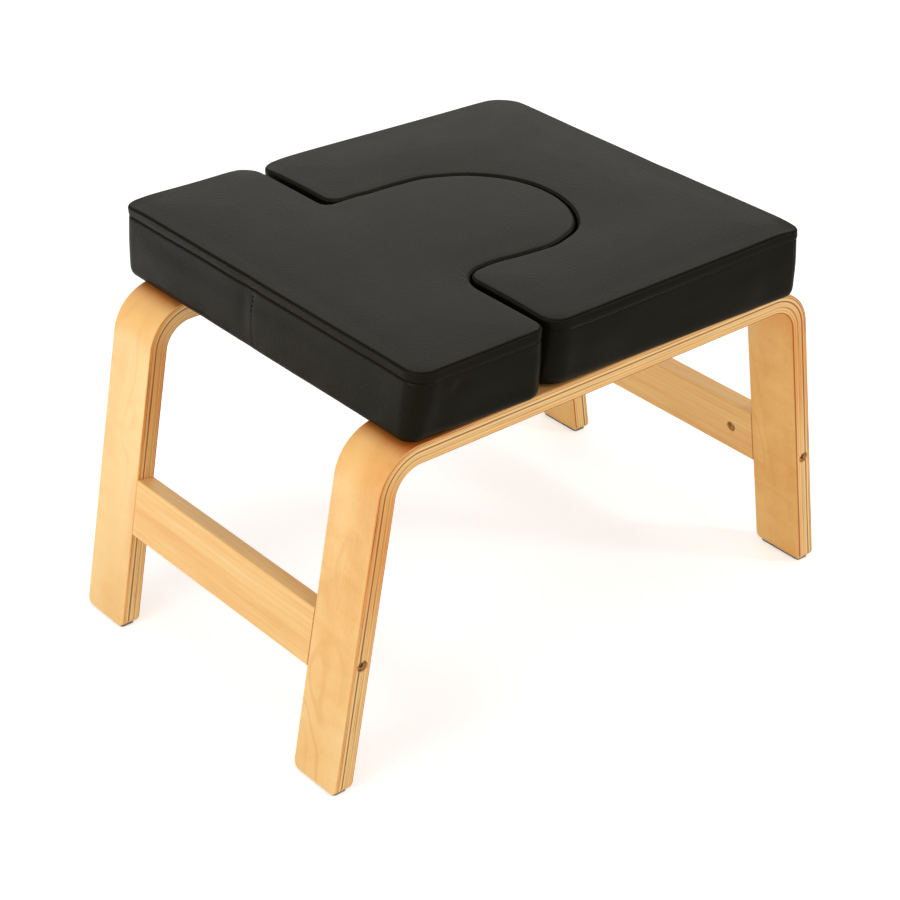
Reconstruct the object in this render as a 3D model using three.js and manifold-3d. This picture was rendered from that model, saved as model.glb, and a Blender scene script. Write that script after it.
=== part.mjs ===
// Yoga headstand stool: two bent plywood portals joined by two stretchers, carrying a U-shaped
// shoulder pad that is screwed down and a T-shaped seat pad that lifts straight off its pegs.
// Millimetres, +Z up, +X along the portals' rails, the floor at z = 0.

import * as THREE from 'three';
import { mergeVertices } from 'three/addons/utils/BufferGeometryUtils.js';
import Module from 'manifold-3d';

const wasm = await Module();
wasm.setup();

// Fits shared by the whole stool
const FIT_GAP = 0.3; // between two pieces that touch
const CUT_OVERRUN = 2; // how far a cutting shape runs past a face

// Frame
const FOOT_SPAN = 600; // outside to outside of the feet
const FRAME_DEPTH = 381; // outside to outside of the two portals
const RAIL_TOP = 318; // the rails' upper face above the floor
const LEG_SPLAY = THREE.MathUtils.degToRad(9.6); // each leg leans out below
const PLY_T = 18.7; // thickness of the bent strip
const PLY_W = 58.6; // width of the bent strip
const BEND_R = 46; // outside radius of the bend
const PLY_EDGE_R = 1.6; // softened long edges of the strip
const FOOT_EDGE_R = 4; // softened ends of the legs, across the strip's thickness
const FOOT_CORNER_R = 8; // rounded corners of the legs' wide faces
const BEND_STEPS = 12;
const EDGE_STEPS = 3;
const BEVEL_STEPS = 2;

// Felt under each foot
const FELT_T = 1.7;
const FELT_MARGIN = 4.5; // wood left bare round the felt
const FELT_CORNER_R = 3;
const WOOD_BOTTOM = FELT_T + FIT_GAP;

// Stretchers, flush with the legs' outer faces
const STRETCHER_H = 56; // measured along the leg
const STRETCHER_TOP = 155.5; // upper edge of the outer face above the floor
const STRETCHER_EDGE_R = 1.5;

// Joint bolts and their barrel nuts
const BOLT_R = 3;
const BOLT_PAST_NUT = 6; // end of the bolt past the nut's axis
const BOLT_HEAD_R = 5.2;
const BOLT_HEAD_H = 5;
const BOLT_SINK = 6.5; // depth of the head's seat below the plywood's edge
const SOCKET_SIDES = 6;
const SOCKET_ACROSS = 5; // corner to corner
const SOCKET_DEPTH = 2.6;
const NUT_R = 5;
const NUT_FLOOR = 3.2; // wood left behind the nut's hole
const NUT_FROM_END = 28; // nut axis from the stretcher's end
const NUT_RECESS = 1.2; // nut face below the stretcher's inner face
const NUT_SLOT_W = 1.4;
const NUT_SLOT_DEPTH = 1.5;
const ROUND_STEPS = 20;

// Dowels, one above and one below each bolt
const DOWEL_R = 4;
const DOWEL_LENGTH = 40;
const DOWEL_OFFSET = 17; // from the bolt's axis
const DOWEL_END_GAP = 1; // glue space at each end of a dowel

// Pads: plan
const PAD_SETBACK = 25.5; // pad's end inside the corner where rail and leg would meet
const PAD_OVERHANG = 10.5; // pad's long side outside the portal
const T_BACK_EXTRA = 8; // the T pad's bar runs this far past the U pad at the back
const T_BAR_W = 139;
const BAR_GAP = 4; // between the T pad's bar and the U pad's arms
const ARM_W = 109.4; // each arm of the U pad
const CLOSED_END_W = 118.4; // U pad beyond the opening's end
const KEY_GAP = 1.6; // between the tongue and the opening round it
const KEY_FLAT = 2; // straight left at the very end of the opening
const PAD_CORNER_R = 26;
const ARM_CORNER_R = 20;
const ARM_TIP_R = 18;
const CREASE_R = 14; // where the tongue leaves the bar
const LEAST_R = 0.6; // a corner never gets sharper than this
const CORNER_STEPS = 4;
const TONGUE_STEPS = 8;

// Pads: height and form
const PAD_H = 70.2; // underside to the middle of the crown
const CROWN_H = 2.6; // rise from the rolled edge to the middle
const CROWN_REACH = 40; // from the edge to where the top is level
const ROLL_SHARES = [0, 0.5, 1]; // of a quarter turn, where a rolled edge has its points
const CROWN_SHARES = [0.5, 1]; // of the way from the rolled edge to the level middle
const TOP_ROLL_R = 9; // rolled upper edge
const BOTTOM_ROLL_R = 7;
const SEAM_DROP = 2; // seam below the rolled edge
const SEAM_TUCK = 0.8; // the seam lies this much below the skin
const SIDE_DRAW = 12; // how far the long sides are drawn in at the bottom
const END_DRAW = 6;
const INNER_DRAW = 3;
const COVER_T = 1.2;
const HEM_W = 18; // cover turned in under the board
const CLOTH_T = 0.6;
const CLOTH_MARGIN = 12; // cloth edge inside the pad's lower edge
const BOARD_T = 12;
const BOARD_ROUND = 5; // rounded lower edge of the board

// Screws and tee nuts of the U pad
const SCREW_R = 3;
const SCREW_IN_PAD = 11; // end of the screw above the rail
const SCREW_HEAD_R = 6.5;
const SCREW_HEAD_H = 3.6;
const SCREW_FROM_ARM = 58; // from the arms' free ends
const SCREW_FROM_END = 46; // from the pad's closed end
const TEE_BARREL_R = 4;
const TEE_FLANGE_R = 9.5;
const TEE_FLANGE_H = 1.5;
const TEE_FLOOR = 1.2; // wood below the barrel's end

// Pegs of the T pad
const PEG_R = 5;
const PEG_IN_BOARD = 9;
const PEG_IN_RAIL = 14;
const PEG_TIP_R = 1.5;
const PEG_PLAY = 0.6; // round a peg in its rail
const PEG_FROM_ARM = 30; // inner pegs from the bar's edge at the arms
const PEG_FROM_END = 33; // outer pegs from the pad's end

// Worked out from the sizes above
const RAIL_Y = (FRAME_DEPTH - PLY_W) / 2;
const TOP_X = FOOT_SPAN / 2 - (RAIL_TOP - WOOD_BOTTOM) * Math.tan(LEG_SPLAY);
const JOINT_Z = STRETCHER_TOP - (STRETCHER_H * Math.cos(LEG_SPLAY) + PLY_T * Math.sin(LEG_SPLAY)) / 2;
const JOINT_Y = FRAME_DEPTH / 2 - PLY_W; // inner edges of the portals
const STRETCHER_L = 2 * (JOINT_Y - FIT_GAP);
const BOLT_LENGTH = PLY_W - BOLT_SINK + NUT_FROM_END + BOLT_PAST_NUT;
const NUT_LENGTH = PLY_T - NUT_RECESS - FIT_GAP - NUT_FLOOR;
const PAD_Z = RAIL_TOP + FIT_GAP;
const HEM_Z = CLOTH_T + FIT_GAP;
const BOARD_Z = HEM_Z + COVER_T + FIT_GAP;
const FOAM_Z = BOARD_Z + BOARD_T + FIT_GAP;
const SEAM_Z = PAD_H - CROWN_H - TOP_ROLL_R - SEAM_DROP;
const PAD_END_X = TOP_X - PAD_SETBACK;
const PAD_SIDE_Y = FRAME_DEPTH / 2 + PAD_OVERHANG;
const BAR_X = T_BAR_W - PAD_END_X;
const ARM_X = BAR_X + BAR_GAP;
const KEY_X = PAD_END_X - CLOSED_END_W; // end of the opening
const KEY_Y = PAD_SIDE_Y - ARM_W; // half the opening's width
const KEY_R = Math.min(KEY_Y - KEY_FLAT / 2, KEY_X - ARM_X - CROWN_REACH - ARM_TIP_R);
const SCREW_ARM_X = ARM_X + SCREW_FROM_ARM;
const SCREW_BACK_X = PAD_END_X - SCREW_FROM_END;
const SCREW_LENGTH = PLY_T + SCREW_IN_PAD;
const TEE_BARREL_H = BOARD_T - TEE_FLANGE_H - FIT_GAP - TEE_FLOOR;
const PEG_INNER_X = BAR_X - PEG_FROM_ARM;
const PEG_OUTER_X = PEG_FROM_END - PAD_END_X;

const LOOKS = {
  birch: { color: 0xe9c68f, roughness: 0.45, metalness: 0 },
  ply: { color: 0xcfa873, roughness: 0.7, metalness: 0 },
  leather: { color: 0x2a2725, roughness: 0.5, metalness: 0 },
  foam: { color: 0xe8dfc2, roughness: 0.95, metalness: 0 },
  cloth: { color: 0x1d1c1c, roughness: 0.95, metalness: 0 },
  felt: { color: 0x8d8c88, roughness: 0.95, metalness: 0 },
  bronze: { color: 0x9c8052, roughness: 0.4, metalness: 0.9 },
  zinc: { color: 0xb7b5ae, roughness: 0.35, metalness: 0.9 },
};

// Makes a named mesh in one of the looks
function piece(name, geometry, look) {
  const mesh = new THREE.Mesh(geometry, new THREE.MeshStandardMaterial(LOOKS[look]));
  mesh.name = name;
  return mesh;
}

// Turns a closed three.js geometry into a solid for booleans
function toSolid(geometry) {
  const bare = geometry.clone();
  bare.deleteAttribute('normal');
  bare.deleteAttribute('uv');
  const merged = mergeVertices(bare);
  return new wasm.Manifold(new wasm.Mesh({
    numProp: 3,
    vertProperties: new Float32Array(merged.attributes.position.array),
    triVerts: new Uint32Array(merged.index.array),
  }));
}

function toGeometry(solid) {
  const mesh = solid.getMesh();
  const geometry = new THREE.BufferGeometry();
  geometry.setAttribute('position', new THREE.BufferAttribute(mesh.vertProperties, 3));
  geometry.setIndex(new THREE.BufferAttribute(mesh.triVerts, 1));
  return geometry;
}

// Cuts each tool geometry out of a body geometry
function cut(body, tools) {
  let solid = toSolid(body);
  for (const tool of tools) solid = solid.subtract(toSolid(tool));
  return toGeometry(solid);
}

// Round bar between two points, also used as the tool for a bore
function rod(radius, from, to, steps = ROUND_STEPS) {
  const along = new THREE.Vector3().subVectors(to, from);
  const geometry = new THREE.CylinderGeometry(radius, radius, along.length(), steps);
  const turn = new THREE.Quaternion().setFromUnitVectors(
    new THREE.Vector3(0, 1, 0), along.clone().normalize());
  geometry.applyQuaternion(turn);
  const middle = new THREE.Vector3().addVectors(from, to).multiplyScalar(1 / 2);
  return geometry.translate(middle.x, middle.y, middle.z);
}

// Rectangle with rounded corners, centred on the origin
function roundedRectangle(width, height, radius) {
  const x = width / 2;
  const y = height / 2;
  const shape = new THREE.Shape();
  shape.moveTo(radius - x, -y);
  shape.absarc(x - radius, radius - y, radius, -Math.PI / 2, 0);
  shape.absarc(x - radius, y - radius, radius, 0, Math.PI / 2);
  shape.absarc(radius - x, y - radius, radius, Math.PI / 2, Math.PI);
  shape.absarc(radius - x, radius - y, radius, Math.PI, 1.5 * Math.PI);
  return shape;
}

// Socket screw along +Y: its head's seat at y = 0, the head below it and the shank above
function socketScrew({ headR, headH, shankR, length }) {
  const round = new THREE.LatheGeometry([
    new THREE.Vector2(0, -headH),
    new THREE.Vector2(headR, -headH),
    new THREE.Vector2(headR, 0),
    new THREE.Vector2(shankR, 0),
    new THREE.Vector2(shankR, length),
    new THREE.Vector2(0, length),
  ], ROUND_STEPS);
  const mouth = -headH - CUT_OVERRUN;
  const socket = rod(SOCKET_ACROSS / 2, new THREE.Vector3(0, mouth, 0),
    new THREE.Vector3(0, SOCKET_DEPTH - headH, 0), SOCKET_SIDES);
  return cut(round, [socket]);
}

// Half width of a portal's outer face at height z, for an offset in from that face
function legX(z, inset) {
  return TOP_X + (RAIL_TOP - z) * Math.tan(LEG_SPLAY) - inset / Math.cos(LEG_SPLAY);
}

// The frame of one side's joints: x out through the leg, y along the stretcher, z up the leg
function sideMatrix(side) {
  const turn = new THREE.Matrix4().makeRotationY(-side * LEG_SPLAY);
  if (side < 0) turn.multiply(new THREE.Matrix4().makeRotationZ(Math.PI));
  return turn.setPosition(side * legX(JOINT_Z, PLY_T / 2), 0, JOINT_Z);
}

// Points of one face of a portal from the middle of the rail to the foot, at an inset
function portalFace(inset) {
  const turn = Math.PI / 2 - LEG_SPLAY;
  const radius = BEND_R - inset;
  const top = RAIL_TOP - inset;
  const centreX = legX(top, inset) - radius * Math.tan(turn / 2);
  const points = [];
  for (let i = 0; i <= BEND_STEPS; i += 1) {
    const angle = Math.PI / 2 - (turn * i) / BEND_STEPS;
    points.push(new THREE.Vector2(centreX + radius * Math.cos(angle),
      top - radius + radius * Math.sin(angle)));
  }
  return points;
}

// Points of a foot's rounded end, from the outer face to the inner one
function footEnd() {
  const points = [];
  const lean = new THREE.Vector2(-Math.sin(LEG_SPLAY), Math.cos(LEG_SPLAY));
  const outer = new THREE.Vector2(legX(WOOD_BOTTOM, 0), WOOD_BOTTOM);
  const inner = new THREE.Vector2(legX(WOOD_BOTTOM, PLY_T), WOOD_BOTTOM);
  const level = new THREE.Vector2(1, 0);
  const ends = [
    { corner: outer, first: lean, last: level.clone().negate() },
    { corner: inner, first: level, last: lean },
  ];
  for (const { corner, first, last } of ends) {
    const curve = new THREE.QuadraticBezierCurve(
      corner.clone().addScaledVector(first, FOOT_EDGE_R), corner,
      corner.clone().addScaledVector(last, FOOT_EDGE_R));
    points.push(...curve.getPoints(EDGE_STEPS));
  }
  return points;
}

// Side view of a portal, worked out for the right half and mirrored
function portalShape() {
  const half = [...portalFace(0), ...footEnd(), ...portalFace(PLY_T).reverse()];
  const mirrored = half.map((p) => new THREE.Vector2(-p.x, p.y)).reverse();
  return new THREE.Shape([...half, ...mirrored]);
}

// Front view of a portal's strip: rounded corners at the foot only
function stripShape() {
  const y = PLY_W / 2;
  const shape = new THREE.Shape();
  shape.moveTo(-y, RAIL_TOP + CUT_OVERRUN);
  shape.lineTo(-y, WOOD_BOTTOM + FOOT_CORNER_R);
  shape.absarc(FOOT_CORNER_R - y, WOOD_BOTTOM + FOOT_CORNER_R, FOOT_CORNER_R, Math.PI, 1.5 * Math.PI);
  shape.absarc(y - FOOT_CORNER_R, WOOD_BOTTOM + FOOT_CORNER_R, FOOT_CORNER_R, 1.5 * Math.PI, 2 * Math.PI);
  shape.lineTo(y, RAIL_TOP + CUT_OVERRUN);
  return shape;
}

// Bent strip without its bores, in the strip's own middle plane
function bentStrip() {
  const side = new THREE.ExtrudeGeometry(portalShape(), {
    depth: PLY_W - 2 * PLY_EDGE_R,
    bevelEnabled: true,
    bevelThickness: PLY_EDGE_R,
    bevelSize: PLY_EDGE_R,
    bevelOffset: -PLY_EDGE_R,
    bevelSegments: BEVEL_STEPS,
  });
  side.translate(0, 0, PLY_EDGE_R - PLY_W / 2).rotateX(Math.PI / 2);
  const length = FOOT_SPAN + 2 * CUT_OVERRUN;
  const front = new THREE.ExtrudeGeometry(stripShape(), {
    depth: length, bevelEnabled: false, curveSegments: EDGE_STEPS,
  });
  front.translate(0, 0, -length / 2).rotateX(Math.PI / 2).rotateZ(Math.PI / 2);
  return toGeometry(toSolid(side).intersect(toSolid(front)));
}

// Bores for one leg's bolt and dowels, in the frame of that side's joints, toward +y
function jointBores() {
  const bores = [
    rod(BOLT_R + FIT_GAP, new THREE.Vector3(0, JOINT_Y - CUT_OVERRUN, 0),
      new THREE.Vector3(0, FRAME_DEPTH / 2 + CUT_OVERRUN, 0)),
    rod(BOLT_HEAD_R + FIT_GAP, new THREE.Vector3(0, FRAME_DEPTH / 2 - BOLT_SINK, 0),
      new THREE.Vector3(0, FRAME_DEPTH / 2 + CUT_OVERRUN, 0)),
  ];
  const bottom = JOINT_Y + DOWEL_LENGTH / 2 + DOWEL_END_GAP;
  for (const z of [-DOWEL_OFFSET, DOWEL_OFFSET]) {
    bores.push(rod(DOWEL_R + FIT_GAP, new THREE.Vector3(0, JOINT_Y - CUT_OVERRUN, z),
      new THREE.Vector3(0, bottom, z)));
  }
  return bores;
}

// Upright bore through a rail at x, in the portal's own frame
function railBore(x, radius) {
  return rod(radius, new THREE.Vector3(x, 0, RAIL_TOP - PLY_T - CUT_OVERRUN),
    new THREE.Vector3(x, 0, RAIL_TOP + CUT_OVERRUN));
}

function portal(name, end) {
  const bores = [
    railBore(SCREW_ARM_X, SCREW_R + FIT_GAP),
    railBore(SCREW_BACK_X, SCREW_R + FIT_GAP),
    railBore(PEG_INNER_X, PEG_R + PEG_PLAY),
    railBore(PEG_OUTER_X, PEG_R + PEG_PLAY),
  ];
  for (const side of [-1, 1]) {
    for (const bore of jointBores()) {
      if (end * side < 0) bore.rotateX(Math.PI);
      bore.applyMatrix4(sideMatrix(side));
      bores.push(bore.translate(0, -end * RAIL_Y, 0));
    }
  }
  const mesh = piece(name, cut(bentStrip(), bores), 'birch');
  mesh.position.y = end * RAIL_Y;
  return mesh;
}

// Stretcher in the frame of its side, with its end bores and its two nut holes
function stretcher(name) {
  const section = roundedRectangle(PLY_T, STRETCHER_H, STRETCHER_EDGE_R);
  const bar = new THREE.ExtrudeGeometry(section, {
    depth: STRETCHER_L, bevelEnabled: false, curveSegments: EDGE_STEPS,
  });
  bar.rotateX(Math.PI / 2).translate(0, STRETCHER_L / 2, 0);
  const bores = [];
  for (const end of [-1, 1]) {
    const mouth = end * (STRETCHER_L / 2 + CUT_OVERRUN);
    const bolt = end * (FRAME_DEPTH / 2 - BOLT_SINK - BOLT_LENGTH - DOWEL_END_GAP);
    const dowel = end * (JOINT_Y - DOWEL_LENGTH / 2 - DOWEL_END_GAP);
    const nut = end * (JOINT_Y - NUT_FROM_END);
    bores.push(rod(BOLT_R + FIT_GAP, new THREE.Vector3(0, bolt, 0), new THREE.Vector3(0, mouth, 0)));
    for (const z of [-DOWEL_OFFSET, DOWEL_OFFSET]) {
      bores.push(rod(DOWEL_R + FIT_GAP, new THREE.Vector3(0, dowel, z), new THREE.Vector3(0, mouth, z)));
    }
    bores.push(rod(NUT_R + FIT_GAP, new THREE.Vector3(-PLY_T / 2 - CUT_OVERRUN, nut, 0),
      new THREE.Vector3(NUT_RECESS + NUT_LENGTH + FIT_GAP - PLY_T / 2, nut, 0)));
  }
  return piece(name, cut(bar, bores), 'birch');
}

// Barrel nut along x, its slotted end toward -x, cross-bored for the bolt
function barrelNut(name) {
  const body = rod(NUT_R, new THREE.Vector3(0, 0, 0), new THREE.Vector3(NUT_LENGTH, 0, 0));
  const thread = rod(BOLT_R + FIT_GAP,
    new THREE.Vector3(PLY_T / 2 - NUT_RECESS, -NUT_R - CUT_OVERRUN, 0),
    new THREE.Vector3(PLY_T / 2 - NUT_RECESS, NUT_R + CUT_OVERRUN, 0));
  const slot = new THREE.BoxGeometry(2 * NUT_SLOT_DEPTH, 2 * (NUT_R + CUT_OVERRUN), NUT_SLOT_W);
  return piece(name, cut(body, [thread, slot]), 'bronze');
}

function jointBolt(name) {
  const screw = socketScrew({
    headR: BOLT_HEAD_R, headH: BOLT_HEAD_H, shankR: BOLT_R, length: BOLT_LENGTH,
  });
  return piece(name, screw, 'bronze');
}

function dowel(name) {
  const half = DOWEL_LENGTH / 2;
  return piece(name, rod(DOWEL_R, new THREE.Vector3(0, -half, 0), new THREE.Vector3(0, half, 0)), 'ply');
}

function footFelt(name) {
  const shape = roundedRectangle(PLY_T / Math.cos(LEG_SPLAY) - FELT_MARGIN,
    PLY_W - 2 * FELT_MARGIN, FELT_CORNER_R);
  const felt = new THREE.ExtrudeGeometry(shape, {
    depth: FELT_T, bevelEnabled: false, curveSegments: EDGE_STEPS,
  });
  return piece(name, felt, 'felt');
}

// One side of the frame: stretcher, bolts, nuts and dowels, and the felts under its two feet
function frameSide(sideName, side) {
  const joints = new THREE.Group();
  joints.applyMatrix4(sideMatrix(side));
  joints.add(stretcher(`stretcher_${sideName}`));
  const parts = new THREE.Group();
  parts.add(joints);
  for (const end of [-1, 1]) {
    const endName = end < 0 ? 'front' : 'back';
    const toward = end * side;
    const bolt = jointBolt(`joint_bolt_${endName}_${sideName}`);
    bolt.position.y = toward * (FRAME_DEPTH / 2 - BOLT_SINK);
    if (toward > 0) bolt.rotation.z = Math.PI;
    const nut = barrelNut(`barrel_nut_${endName}_${sideName}`);
    nut.position.set(NUT_RECESS - PLY_T / 2, toward * (JOINT_Y - NUT_FROM_END), 0);
    joints.add(bolt, nut);
    for (const [level, z] of [['lower', -DOWEL_OFFSET], ['upper', DOWEL_OFFSET]]) {
      const pin = dowel(`dowel_${level}_${endName}_${sideName}`);
      pin.position.set(0, toward * JOINT_Y, z);
      joints.add(pin);
    }
    const felt = footFelt(`foot_felt_${endName}_${sideName}`);
    felt.position.set(side * legX(WOOD_BOTTOM, PLY_T / 2), end * RAIL_Y, 0);
    parts.add(felt);
  }
  return parts;
}

// Corners of each pad's plan, counter-clockwise: place, radius, whether it turns inward,
// steps of its arc, and how far the side that follows is drawn in at the bottom
function padCorners(kind) {
  const end = PAD_END_X;
  const side = PAD_SIDE_Y;
  const back = side + T_BACK_EXTRA;
  const tongue = KEY_Y - KEY_GAP;
  const tip = KEY_X - KEY_GAP;
  const outer = CORNER_STEPS;
  const round = TONGUE_STEPS;
  if (kind === 't_pad') {
    return [
      { x: -end, y: -side, r: PAD_CORNER_R, steps: outer, draw: SIDE_DRAW },
      { x: BAR_X, y: -side, r: ARM_CORNER_R, steps: outer, draw: INNER_DRAW },
      { x: BAR_X, y: -tongue, r: CREASE_R, inward: true, steps: outer, draw: INNER_DRAW },
      { x: tip, y: -tongue, r: KEY_R - KEY_GAP, steps: round, draw: INNER_DRAW },
      { x: tip, y: tongue, r: KEY_R - KEY_GAP, steps: round, draw: INNER_DRAW },
      { x: BAR_X, y: tongue, r: CREASE_R, inward: true, steps: outer, draw: INNER_DRAW },
      { x: BAR_X, y: back, r: ARM_CORNER_R, steps: outer, draw: SIDE_DRAW },
      { x: -end, y: back, r: PAD_CORNER_R, steps: outer, draw: END_DRAW },
    ];
  }
  return [
    { x: ARM_X, y: -side, r: ARM_CORNER_R, steps: outer, draw: SIDE_DRAW },
    { x: end, y: -side, r: PAD_CORNER_R, steps: outer, draw: END_DRAW },
    { x: end, y: side, r: PAD_CORNER_R, steps: outer, draw: SIDE_DRAW },
    { x: ARM_X, y: side, r: ARM_CORNER_R, steps: outer, draw: INNER_DRAW },
    { x: ARM_X, y: KEY_Y, r: ARM_TIP_R, steps: outer, draw: INNER_DRAW },
    { x: KEY_X, y: KEY_Y, r: KEY_R, inward: true, steps: round, draw: INNER_DRAW },
    { x: KEY_X, y: -KEY_Y, r: KEY_R, inward: true, steps: round, draw: INNER_DRAW },
    { x: ARM_X, y: -KEY_Y, r: ARM_TIP_R, steps: outer, draw: INNER_DRAW },
  ];
}

// One level ring of a pad: its plan moved in by an inset and by a share of each side's draw
function ring(kind, { inset, drawShare, z }) {
  const corners = padCorners(kind);
  const count = corners.length;
  const sides = corners.map((corner, i) => {
    const next = corners[(i + 1) % count];
    const length = Math.hypot(next.x - corner.x, next.y - corner.y);
    return {
      along: new THREE.Vector2((next.x - corner.x) / length, (next.y - corner.y) / length),
      shift: inset + corner.draw * drawShare,
    };
  });
  const points = [];
  corners.forEach((corner, i) => {
    const before = sides[(i + count - 1) % count];
    const after = sides[i];
    const x = corner.x - before.along.y * before.shift - after.along.y * after.shift;
    const y = corner.y + before.along.x * before.shift + after.along.x * after.shift;
    const bend = corner.inward ? -1 : 1;
    const r = Math.max(corner.r - (bend * (before.shift + after.shift)) / 2, LEAST_R);
    const centreX = x + r * (after.along.x - before.along.x);
    const centreY = y + r * (after.along.y - before.along.y);
    const start = Math.atan2(-bend * before.along.x, bend * before.along.y);
    for (let k = 0; k <= corner.steps; k += 1) {
      const angle = start + (bend * (Math.PI / 2) * k) / corner.steps;
      points.push(new THREE.Vector3(centreX + r * Math.cos(angle), centreY + r * Math.sin(angle), z));
    }
  });
  return points;
}

// Closed skin over rings: capped at both ends, or joined round from the last ring to the first
function loft(rings, joined = false) {
  const size = rings[0].length;
  const index = [];
  const spans = joined ? rings.length : rings.length - 1;
  for (let k = 0; k < spans; k += 1) {
    const low = k * size;
    const high = ((k + 1) % rings.length) * size;
    for (let i = 0; i < size; i += 1) {
      const j = (i + 1) % size;
      index.push(low + i, low + j, high + j, low + i, high + j, high + i);
    }
  }
  if (!joined) {
    const last = (rings.length - 1) * size;
    for (const [a, b, c] of THREE.ShapeUtils.triangulateShape(rings[0], [])) index.push(a, c, b);
    for (const [a, b, c] of THREE.ShapeUtils.triangulateShape(rings.at(-1), [])) {
      index.push(last + a, last + b, last + c);
    }
  }
  const geometry = new THREE.BufferGeometry();
  geometry.setFromPoints(rings.flat());
  geometry.setIndex(index);
  return geometry;
}

// Moves a profile inward by a distance, keeping the thickness round its bends
function insideOf(profile, distance) {
  const normals = profile.slice(1).map((point, i) => {
    const dx = point.inset - profile[i].inset;
    const dz = point.z - profile[i].z;
    return new THREE.Vector2(dz, -dx).normalize();
  });
  return profile.map((point, i) => {
    const first = normals[Math.max(i - 1, 0)];
    const last = normals[Math.min(i, normals.length - 1)];
    const step = distance / (1 + first.dot(last));
    return {
      ...point,
      inset: point.inset + (first.x + last.x) * step,
      z: point.z + (first.y + last.y) * step,
    };
  });
}

// Share of the full draw at height z: all of it at the bottom, none at the seam
function drawAt(z) {
  return Math.max(1 - z / SEAM_Z, 0);
}

// Side of the cover from the hem's free edge to the seam
function bandProfile() {
  const points = [{ inset: HEM_W, z: HEM_Z, drawShare: 1 }];
  for (const share of ROLL_SHARES) {
    const angle = (share * Math.PI) / 2;
    const z = HEM_Z + BOTTOM_ROLL_R * (1 - Math.cos(angle));
    points.push({ inset: BOTTOM_ROLL_R * (1 - Math.sin(angle)), z, drawShare: drawAt(z) });
  }
  points.push({ inset: SEAM_TUCK, z: SEAM_Z, drawShare: 0 });
  return points;
}

// Top panel from the seam over the rolled edge to the level middle
function topProfile() {
  const shoulder = PAD_H - CROWN_H;
  const points = [{ inset: SEAM_TUCK, z: SEAM_Z + FIT_GAP, drawShare: 0 }];
  for (const share of ROLL_SHARES) {
    const angle = (share * Math.PI) / 2;
    points.push({
      inset: TOP_ROLL_R * (1 - Math.cos(angle)),
      z: shoulder - TOP_ROLL_R * (1 - Math.sin(angle)),
      drawShare: 0,
    });
  }
  for (const share of CROWN_SHARES) {
    points.push({
      inset: TOP_ROLL_R + (CROWN_REACH - TOP_ROLL_R) * share,
      z: shoulder + CROWN_H * (1 - (1 - share) ** 2),
      drawShare: 0,
    });
  }
  return points;
}

function rings(kind, profile) {
  return profile.map((point) => ring(kind, point));
}

function coverBand(kind, bores) {
  const outside = bandProfile();
  const inside = insideOf(outside, COVER_T).reverse();
  return cut(loft(rings(kind, [...outside, ...inside]), true), bores);
}

function coverTop(kind) {
  const outside = topProfile();
  const inside = insideOf(outside, COVER_T).reverse();
  inside.at(-1).z = outside[0].z;
  return loft(rings(kind, [...inside, ...outside]));
}

// Foam block: it fills the cover above the board
function foam(kind) {
  const skin = COVER_T + FIT_GAP;
  const seam = { inset: skin + SEAM_TUCK, z: SEAM_Z, drawShare: 0 };
  const rollTop = HEM_Z + BOTTOM_ROLL_R;
  const rise = (FOAM_Z - rollTop) / (SEAM_Z - rollTop);
  const bottom = { inset: skin + SEAM_TUCK * rise, z: FOAM_Z, drawShare: drawAt(FOAM_Z) };
  const top = insideOf(topProfile(), skin).slice(1);
  return loft(rings(kind, [bottom, seam, ...top]));
}

// Board with a rounded lower edge, cut for its fasteners
function board(kind, bores) {
  const skin = COVER_T + FIT_GAP;
  const profile = [
    { inset: BOTTOM_ROLL_R, z: BOARD_Z, drawShare: 1 },
    { inset: BOTTOM_ROLL_R - BOARD_ROUND + skin, z: BOARD_Z + BOARD_ROUND, drawShare: 1 },
    { inset: skin, z: BOARD_Z + BOARD_T, drawShare: 1 },
  ];
  return cut(loft(rings(kind, profile)), bores);
}

function cloth(kind, bores) {
  const profile = [0, CLOTH_T].map((z) => ({ inset: CLOTH_MARGIN, z, drawShare: 1 }));
  return cut(loft(rings(kind, profile)), bores);
}

// Tee nut standing on its barrel's end, its flange on top
function teeNut(name) {
  const barrel = new THREE.LatheGeometry([
    new THREE.Vector2(0, 0),
    new THREE.Vector2(TEE_BARREL_R, 0),
    new THREE.Vector2(TEE_BARREL_R, TEE_BARREL_H),
    new THREE.Vector2(TEE_FLANGE_R, TEE_BARREL_H),
    new THREE.Vector2(TEE_FLANGE_R, TEE_BARREL_H + TEE_FLANGE_H),
    new THREE.Vector2(0, TEE_BARREL_H + TEE_FLANGE_H),
  ], ROUND_STEPS).rotateX(Math.PI / 2);
  const thread = rod(SCREW_R + FIT_GAP, new THREE.Vector3(0, 0, -CUT_OVERRUN),
    new THREE.Vector3(0, 0, TEE_BARREL_H + TEE_FLANGE_H + CUT_OVERRUN));
  return piece(name, cut(barrel, [thread]), 'zinc');
}

function padScrew(name) {
  const screw = socketScrew({
    headR: SCREW_HEAD_R, headH: SCREW_HEAD_H, shankR: SCREW_R, length: SCREW_LENGTH,
  });
  return piece(name, screw.rotateX(Math.PI / 2), 'zinc');
}

// Wooden peg with a rounded lower tip, its lower end at z = 0
function peg(name, length) {
  const profile = [
    new THREE.Vector2(0, 0),
    new THREE.Vector2(PEG_R - PEG_TIP_R, 0),
    new THREE.Vector2(PEG_R, PEG_TIP_R),
    new THREE.Vector2(PEG_R, length),
    new THREE.Vector2(0, length),
  ];
  return piece(name, new THREE.LatheGeometry(profile, ROUND_STEPS).rotateX(Math.PI / 2), 'ply');
}

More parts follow.
